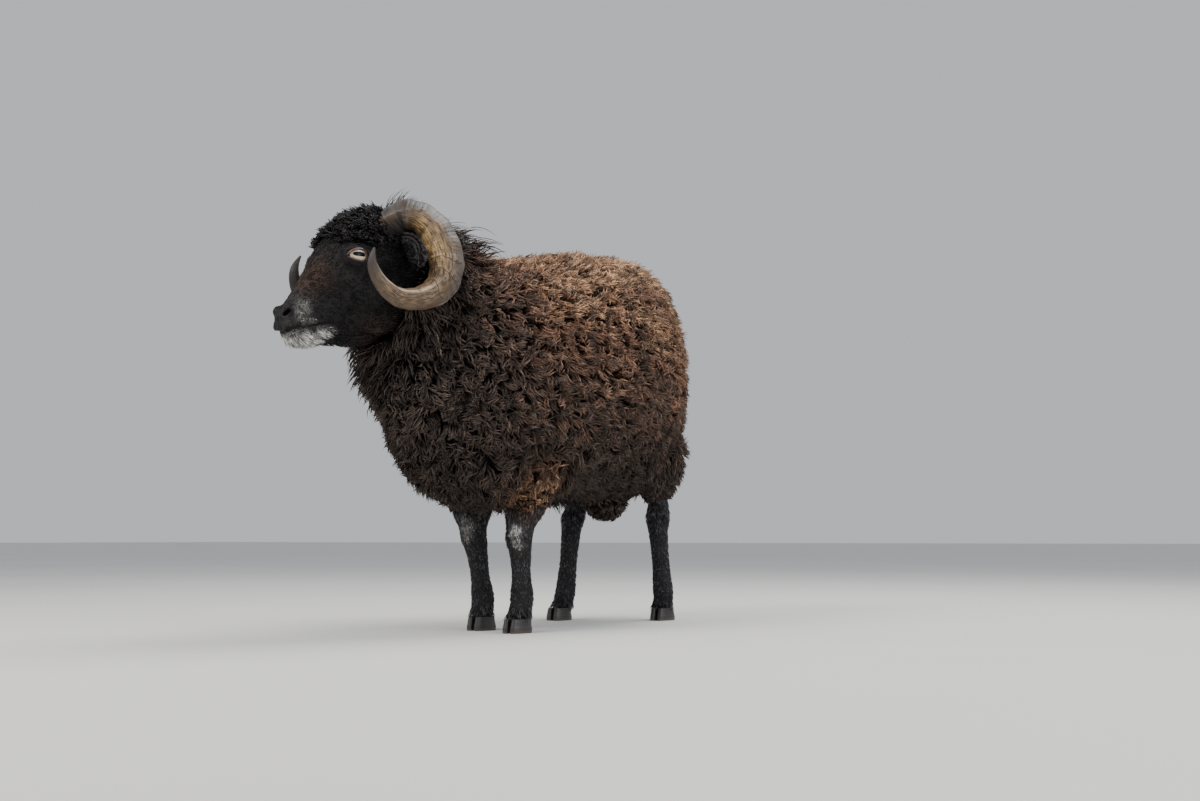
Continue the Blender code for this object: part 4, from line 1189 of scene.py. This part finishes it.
def head_coat(head, params, hair):
    """Short hair laid back over the face, longer to the cheeks, and curls on the forehead."""
    rng = np.random.RandomState(23)
    points, outs = points_and_outs(head)
    forward, left, height = in_head(points)
    eyes = (from_eye(forward, height) < 0.0138) & (np.abs(left) > 0.028)
    clear = (head_bare(points)[0] < 0.35) & ~eyes & off_the_horns(points)
    crown = crown_of(points)
    ragged = crown + waves(points, 0.012, 90) * 0.14
    white = marks(points)[1]

    pick = clear & (rng.uniform(size=len(points)) < 0.33 + 0.60 * np.minimum(white * 2.5, 1)) & (ragged < 0.8)
    root, out, f, h, chin = points[pick], outs[pick], forward[pick], height[pick], white[pick]
    long = 0.0042 + 0.0065 * smooth(f, 0.105, 0.050) + 0.0035 * smooth(h, 0.350, 0.338)
    bearded = smooth(chin, 0.45, 0.80)
    muzzle = smooth(f, 0.150, 0.172) * (1 - bearded)
    long = long * (1 - 0.45 * muzzle) + 0.007 * crown[pick]
    long = long * (1 - 0.35 * smooth(chin, 0.05, 0.20) * (1 - bearded))
    back, down = HEAD_SPIN @ np.array((0.0, 1.0, 0.25)), HEAD_SPIN @ np.array((0.0, 0.5, -1.0))
    ways = back[None] + down[None] * bearded[:, None]
    lie = tangent(ways + rng.normal(size=root.shape) * (0.20 - 0.08 * bearded[:, None]), out)
    pull, clump = gather(root, out, rng, 12, 0.35, 0.0)
    face = tufts(
        "face_coat", root, out, lie, params[pick], rng, clump=clump, colour=hair,
        length=(long + 0.0020 * bearded) * rng.uniform(0.75, 1.3, len(root)),
        width=0.0012 * (1 - 0.3 * bearded) * rng.uniform(0.7, 1.4, len(root)),
        lean=(52, 82), pull=pull, sunk=0.0005, **SHORT_HAIR,
    )

    pick = clear & (rng.uniform(size=len(points)) < 0.21 * smooth(ragged, 0.20, 0.85))
    root, out = points[pick], outs[pick]
    ahead = HEAD_SPIN @ np.array((0.0, -1.0, -0.25))
    lie = tangent(ahead[None] + rng.normal(size=root.shape) * 0.55, out)
    pull, clump = gather(root, out, rng, 9, 0.55, 0.0016)
    long = 0.0060 + 0.0090 * smooth(crown[pick], 0.1, 1.0)
    topknot = tufts(
        "topknot_coat", root, out, lie, params[pick], rng, clump=clump, colour=hair,
        length=long * rng.uniform(0.75, 1.25, len(root)), width=0.0027 * rng.uniform(0.7, 1.3, len(root)),
        flat=0.65, lean=(15, 62), curl=0.0019, turns=1.2, pull=pull, rings=5, sunk=0.001, blunt=3.5,
    )
    return [face, topknot]


def ear_coat(ear, side, hair):
    """Finishes the skin of an ear, pink inside, and grows the hair on it."""
    points, outs = points_and_outs(ear)
    open_to = HEAD_TO_WORLD.to_3x3() @ head_point(*EAR_OPEN_TO)
    facing = outs @ np.array(open_to.normalized())
    finish_skin(ear, np.zeros(len(points)), smooth(facing, 0.0, 0.5) * 0.9)
    rng = np.random.RandomState(53)
    to_tip = np.array(HEAD_TO_WORLD.to_3x3() @ Vector((side, 0.0, -0.35)))
    lie = tangent(np.tile(to_tip, (len(points), 1)), outs)
    uv = rng.uniform(0.02, 0.98, (len(points), 2))
    some = rng.uniform(size=len(points)) < 0.6
    root, out, lie, uv = (rows[some] for rows in (points, outs, lie, uv))
    return tufts(
        "ear_coat_left" if side == 1 else "ear_coat_right", root, out, lie, uv, rng,
        clump=rng.uniform(size=len(root)), colour=hair, length=0.0080 * rng.uniform(0.5, 1.4, len(root)),
        width=0.0013, lean=(36, 74), pull=np.zeros_like(root), sunk=0.0004, **SHORT_HAIR,
    )


def wisps(hair):
    """Loose tufts of hair over the poll and behind the horns, and the tuft under the belly."""
    rng = np.random.RandomState(31)
    groups = (
        (head_point(0.036, 0.000, 0.489), (0.008, 0.009, 0.003), (0.0, 0.22, 1.0), 0.042, 170),
        (head_point(0.012, 0.012, 0.482), (0.010, 0.010, 0.003), (0.1, 0.50, 1.0), 0.030, 50),
        (head_point(-0.020, 0.028, 0.468), (0.014, 0.012, 0.006), (0.3, 0.75, 0.75), 0.034, 110),
        (head_point(-0.040, 0.034, 0.455), (0.016, 0.012, 0.010), (0.3, 0.85, 0.50), 0.036, 130),
        (head_point(-0.020, -0.030, 0.462), (0.016, 0.012, 0.008), (-0.4, 0.85, 0.55), 0.034, 110),
    )
    roots, ways, longs = [], [], []
    for at, size, way, long, count in groups:
        middle = np.array(HEAD_TO_WORLD @ at)
        roots.append(middle + (rng.normal(size=(count, 3)) * np.array(size)) @ HEAD_SPIN.T)
        ways.append(np.tile(HEAD_SPIN @ np.array(way), (count, 1)) + rng.normal(size=(count, 3)) * 0.25)
        longs.append(long * rng.uniform(0.6, 1.25, count))
    belly = np.array(TRUNK_AT) + np.array((0.0, -0.012, 0.178))
    roots.append(belly + rng.normal(size=(150, 3)) * np.array((0.008, 0.011, 0.003)))
    ways.append(np.tile(np.array((0.0, 0.25, -1.0)), (150, 1)) + rng.normal(size=(150, 3)) * 0.14)
    longs.append(0.040 * rng.uniform(0.6, 1.15, 150))
    root, way, long = np.concatenate(roots), unit(np.concatenate(ways)), np.concatenate(longs)
    lie = tangent(np.array([[0.0, 0.9, -0.8]]) + rng.normal(size=root.shape) * 0.3, way)
    uv = rng.uniform(0.02, 0.98, (len(root), 2))
    pull, clump = gather(root, way, rng, 7, 0.5, 0.0)
    return tufts(
        "wisps", root, way, lie, uv, rng, clump=clump, colour=hair,
        length=long, width=0.0020, flat=0.5, lean=(0, 62), curl=0.0014, turns=0.6,
        pull=pull, rings=6, sunk=0.004, blunt=2.2,
    )


# Horns, eyes and hooves


def horn_middle(at, side):
    share = at / (len(HORN_ROWS) - 1)
    curl = head_point(HORN_CURL[0], 0, HORN_CURL[1])
    turned = Matrix.Rotation(HORN_EXTRA_TURN[side] * share**2, 3, "X")
    middle = curl + turned @ (head_point(*between(HORN_ROWS, at)[:3]) - curl)
    middle.x *= 1 + (HORN_SPLAY[side] - 1) * share
    return middle


def evened(rows, reach):
    """Rows of numbers, each made the mean of its neighbours, with the ends kept."""
    rows = np.array(rows)
    found = rows.copy()
    for k in range(len(rows)):
        near = min(reach, k, len(rows) - 1 - k)
        found[k] = rows[k - near : k + near + 1].mean(axis=0)
    return found.tolist()


def build_horn(side, name, material):
    """A horn with ridges and grooves across it, finer wrinkles between them and a low keel."""
    rng = random.Random(name)
    rings, values = [], []
    count, sides = 330, 56
    places = [HORN_START + k / (count - 1) * (len(HORN_ROWS) - 1 - HORN_START) for k in range(count)]
    line = evened([(*horn_middle(at, side), *between(HORN_ROWS, at)[3:5]) for at in places], 9)
    drift = [rng.uniform(-0.5, 0.5) for _ in range(HORN_STEPS + 3)]
    for k, at in enumerate(places):
        share = k / (count - 1)
        step = share * HORN_STEPS
        wander = drift[int(step)] * (1 - step % 1) + drift[int(step) + 1] * (step % 1)
        wave = -math.cos(math.pi * (step + 0.45 * wander))
        ridge = 1 + HORN_RIDGE * 0.5 * wave * (1 - share) * (0.75 + 0.5 * abs(wander))
        ridge += 0.010 * math.sin(step * math.pi * 5.3) * (1 - share)
        thick, broad = (half * ridge for half in line[k][3:5])
        middle = Vector(line[k][:3])
        along = (Vector(line[min(k + 1, count - 1)][:3]) - Vector(line[max(k - 1, 0)][:3])).normalized()
        outward = middle - head_point(HORN_CURL[0], middle.x, HORN_CURL[1])
        outward = (outward - along * outward.dot(along)).normalized()
        across = along.cross(outward)
        if across.x < 0:
            across.negate()
        ring = []
        for j in range(sides):
            turn = 2 * math.pi * j / sides
            inner = 1 - HORN_PINCH * min(max(3.4 - at, 0), 1) if math.cos(turn) < 0 else 1
            uneven = 1 + 0.012 * math.sin(3 * turn + step * 0.9) + 0.008 * math.sin(7 * turn - step * 2.1)
            out = math.cos(turn) * thick * inner * uneven
            beside = math.sin(turn) * broad * (1 - 0.25 * math.cos(turn)) * uneven
            ring.append(from_head(middle + outward * out + across * beside, side))
            values.append((share, turn / (2 * math.pi), math.cos(turn), 0.5 - 0.5 * wave))
        rings.append(ring)
    horn = loft(name, rings)
    values += [values[0], values[-1]]
    set_values(horn.data, **dict(zip(HORN_VALUES, zip(*values))))
    return dressed(horn, material)


def build_eye(side, name, material):
    """An eyeball with a low cornea. Its numbers place the iris, and lie off it behind."""
    made = bmesh.new()
    bmesh.ops.create_uvsphere(made, u_segments=72, v_segments=48, radius=EYE_RADIUS)
    turned = Matrix.Rotation(math.radians(90), 4, "Y")
    made.transform(Matrix.Translation(eye_place(side)) @ turned)
    forward, left, height = EYE_AT
    ahead, high = [], []
    for vert in made.verts:
        f, h = -vert.co.y - forward, vert.co.z - height
        front = vert.co.x * side > left
        ahead.append(f if front else 0.02)
        high.append(h if front else 0.02)
        bulge = max(0.0, 1 - (math.hypot(f, h) / 0.0095) ** 2)
        vert.co.x += side * 0.0009 * bulge * front
    made.transform(HEAD_TO_WORLD)
    eye = finished(made, name, turn_out=False)
    set_values(eye.data, ahead=ahead, high=high)
    return dressed(eye, material)


def build_rims(side, name, material):
    """The moist edge of the lids round one eye, drawn out to a tear corner in front."""
    rings = []
    count = 72
    for k in range(count + 1):
        turn = 2 * math.pi * k / count
        reach = 1 + 0.16 * max(math.cos(turn), 0) ** 8
        f = 0.0112 * math.cos(turn) * reach
        h = 0.0066 * math.sin(turn) * (1.0 + 0.05 * math.sin(turn)) - 0.0010 * max(math.cos(turn), 0) ** 6
        swell = math.sqrt(max((EYE_RADIUS + 0.0011) ** 2 - f * f - h * h, 1e-9))
        middle = head_point(EYE_AT[0] + f, EYE_AT[1] + swell, EYE_AT[2] + h)
        out = Vector((swell, -f, h)).normalized()
        side_way = Vector((0, -math.cos(turn), math.sin(turn)))
        side_way = (side_way - out * side_way.dot(out)).normalized()
        size = 0.00115 * (1 + 0.35 * max(math.sin(turn), 0))
        angles = [2 * math.pi * j / 10 for j in range(10)]
        ways = [out * math.cos(angle) + side_way * math.sin(angle) for angle in angles]
        rings.append([from_head(middle + way * size, side) for way in ways])
    return dressed(loft(name, rings), material)


def build_claws(leg, material):
    """The two claws of a foot, each with the name of its node."""
    foot = LEGS[leg][0]
    outer = 1 if leg.endswith("left") else -1
    levels = [(0.0, 0.965), (0.0006, 0.99), (0.0016, 1.0), (0.005, 1.0)]
    walls = spread(0.007, CORONET - 0.0006, 9)
    levels += [(z, 1.0 - 0.18 * (z - 0.005) / (CORONET - 0.005)) for z in walls]
    found = []
    for word, side in (("outer", outer), ("inner", -outer)):
        rings, high = [], []
        for z, size in levels:
            ripple = 1 + 0.006 * math.sin(z * 2600)
            ring = []
            for k in range(48):
                turn = 2 * math.pi * k / 48
                narrow = 0.80 - 0.20 * math.cos(turn)
                out = max(math.sin(turn), -0.42) * narrow * CLAW_WIDTH / 1.30
                x = foot[0] + side * (0.0010 + 0.336 * CLAW_WIDTH / 1.30 + out * size * ripple)
                y = foot[1] - CLAW_AHEAD - math.cos(turn) * CLAW_LENGTH / 2 * size * ripple
                ring.append(TRUNK_AT + Vector((x, y, z)))
                high.append(z)
            rings.append(ring)
        name = leg.replace("leg", "claw") + "_" + word
        claw = loft(name + "_hoof", rings)
        set_values(claw.data, high=high + [0.0, CORONET])
        dressed(claw, material).data.set_sharp_from_angle(angle=math.radians(60))
        found.append((claw, name))
    return found


# Camera and light


def make_camera():
    """The viewpoint and framing of the reference."""
    azimuth = math.radians(32)
    away, level, focal = 2.02, 0.115, 1500.0
    middle_x, middle_y = 600.0, 400.5
    horizon, trunk_x = 538.0, 560.0
    pitch = math.atan((horizon - middle_y) / focal)
    yaw = math.atan((trunk_x - middle_x) / focal * math.cos(pitch))
    camera = bpy.data.cameras.new("camera")
    camera.lens = 45
    camera.sensor_width = 36
    obj = placed_object("camera", camera)
    obj.location = TRUNK_AT + Vector((math.sin(azimuth) * away, -math.cos(azimuth) * away, level))
    obj.rotation_euler = (math.radians(90) + pitch, 0, azimuth + yaw)
    bpy.context.scene.camera = obj


def make_light(name, at, size, energy, colour):
    light = bpy.data.lights.new(name, "AREA")
    light.shape = "RECTANGLE"
    light.size, light.size_y = size
    light.energy = energy
    light.color = colour
    obj = placed_object(name, light)
    obj.location = at
    obj.rotation_euler = (LIT_POINT - Vector(at)).to_track_quat("-Z", "Y").to_euler()


def make_studio():
    made = bmesh.new()
    bmesh.ops.create_grid(made, x_segments=1, y_segments=1, size=30)
    floor = finished(made, "floor", turn_out=False)
    floor.data.materials.append(floor_material())
    world = bpy.data.worlds.new("studio")
    world.use_nodes = True
    sky = world.node_tree.nodes["Background"]
    sky.inputs["Color"].default_value = (0.92, 0.95, 1.0, 1)
    sky.inputs["Strength"].default_value = 0.62
    bpy.context.scene.world = world
    make_light("key", (-0.6, -2.1, 2.1), (1.3, 1.3), 62, (1.0, 0.96, 0.90))
    make_light("top", (0.5, 0.9, 2.2), (1.4, 1.4), 46, (1.0, 0.98, 0.95))
    make_light("fill", (2.4, -0.6, 1.0), (1.8, 1.4), 26, (0.95, 0.97, 1.0))


# All of it


def ride(piece):
    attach(piece, "root")


def body_coats(body, wool, mane_hair, leg_hair):
    """The coats of trunk, tail and legs, each paired with the name of a slot, which is not applied."""
    points, outs = points_and_outs(body)
    limbs, params = on_limbs(points, LIMBS)
    grown = points, outs, params
    _, y, z = in_trunk(points)
    on_leg = np.char.find(limbs, "leg") >= 0
    trunk = (limbs == "trunk") | on_leg & (z > TRUNK_COAT_FROM)
    tail = (limbs == "tail") | (limbs == "scrotum")
    leg = on_leg & (z <= TRUNK_COAT_FROM)
    wool_from = 0.155 + waves(points, 0.02, 80) * 0.006 + 0.017 * (y > 0.02)
    woolly = leg & (z > wool_from)
    short = leg & (z <= wool_from) & (z > CORONET + 0.001)
    long_wool = 0.008 + 0.014 * smooth(z[woolly], 0.155, 0.220)
    long_hair = 0.0050 + 0.0040 * smooth(z[short], 0.130, 0.160) + 0.006 * smooth(z[short], 0.036, 0.024)
    pieces = trunk_coat(*(rows[trunk] for rows in grown), wool, mane_hair)
    coats = [(piece, "mane" if "mane" in piece.name else "fleece") for piece in pieces]
    for slot, name, chosen, hair, *style in (
        ("fleece", "tail_coat", tail, wool, 0.0150, 0.0044, (10, 60), 0.0024, 1.1, 4, 41),
        ("fleece", "leg_wool", woolly, wool, long_wool, 0.0040, (20, 68), 0.0018, 1.0, 4, 43),
        ("leg_hair", "leg_coat", short, leg_hair, long_hair, 0.0015, (58, 84), 0.0002, 0.3, 2, 47, 2),
    ):
        coats.append((limb_coat(name, grown, chosen, hair, *style), slot))
    return coats


def dress_in_coat():
    """The skin with all its coats."""
    wool = coat_material("fleece_wool", DARK_WOOL, DARK_TIP, 0.45, 0.85, 0.62)
    mane_hair = coat_material("mane_hair", (0.014, 0.010, 0.009), (0.056, 0.043, 0.036), 0.75, 0.62, 0.50)
    # grey-blue tips of the leg hair: partly grey hairs, partly a painted blue-grey sheen
    leg_hair = coat_material("leg_hair", (0.028, 0.028, 0.031), (0.125, 0.125, 0.138), 0.15, 0.46)
    face_hair = coat_material("face_hair", (0.009, 0.0085, 0.009), (0.024, 0.021, 0.022), 0.25, 0.50)
    skin_look = skin_material()

    body, head, ears = body_skin(), head_skin(), both_sides(ear_skin)
    coats = body_coats(body, wool, mane_hair, leg_hair)
    head_points = vectors(head, "co")
    _, head_params = on_limbs(head_points, ["head"])
    coats += [(piece, "face_hair") for piece in head_coat(head, head_params, face_hair)]
    coats.append((wisps(mane_hair), "mane"))
    bare_body = np.zeros(len(body.data.vertices))
    finish_skin(body, bare_body, bare_body)
    bare_head, lid_edges = head_bare(head_points)
    finish_skin(head, bare_head, lid_edges * 0.04)
    # the ears take the paler leg hair, a painted grey highlight on the dark ear leaves
    coats += [(ear_coat(ear, side, leg_hair), "ear_hair") for ear, side in zip(ears, (1, -1))]
    thin_under_wool(body)
    skin = join_skins([body, head, *ears], skin_look)
    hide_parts("torso", "neck", "head", "tail", "scrotum", "ear_left", "ear_right", *LEGS)
    ride(skin)
    for piece, slot in coats:
        ride(piece)


def add_hard_parts():
    """Horns, eyes with their lid rims, and claws."""
    claw_look, eye_look, rim_look = claw_material(), eye_material(), rim_material()
    # the right horn, on the far side, darkens from earlier on to a blacker tip than the left: painted shade
    # on the far horn
    horn_tips = (("left", 1, 0.74, (0.034, 0.028, 0.025)), ("right", -1, 0.46, (0.010, 0.009, 0.009)))
    for word, side, dark_from, dark_tip in horn_tips:
        horn_look = horn_material("horn_keratin_" + word, dark_from, dark_tip)
        horn = build_horn(side, "horn_surface_" + word, horn_look)
        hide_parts("horn_" + word)
        ride(horn)
        eye = build_eye(side, "eyeball_" + word, eye_look)
        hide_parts("eye_" + word)
        ride(eye)
        ride(build_rims(side, "lid_rim_" + word, rim_look))
    for name in LEGS:
        for claw, node in build_claws(name, claw_look):
            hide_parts(node)
            ride(claw)


make_camera()
make_studio()
dress_in_coat()
add_hard_parts()
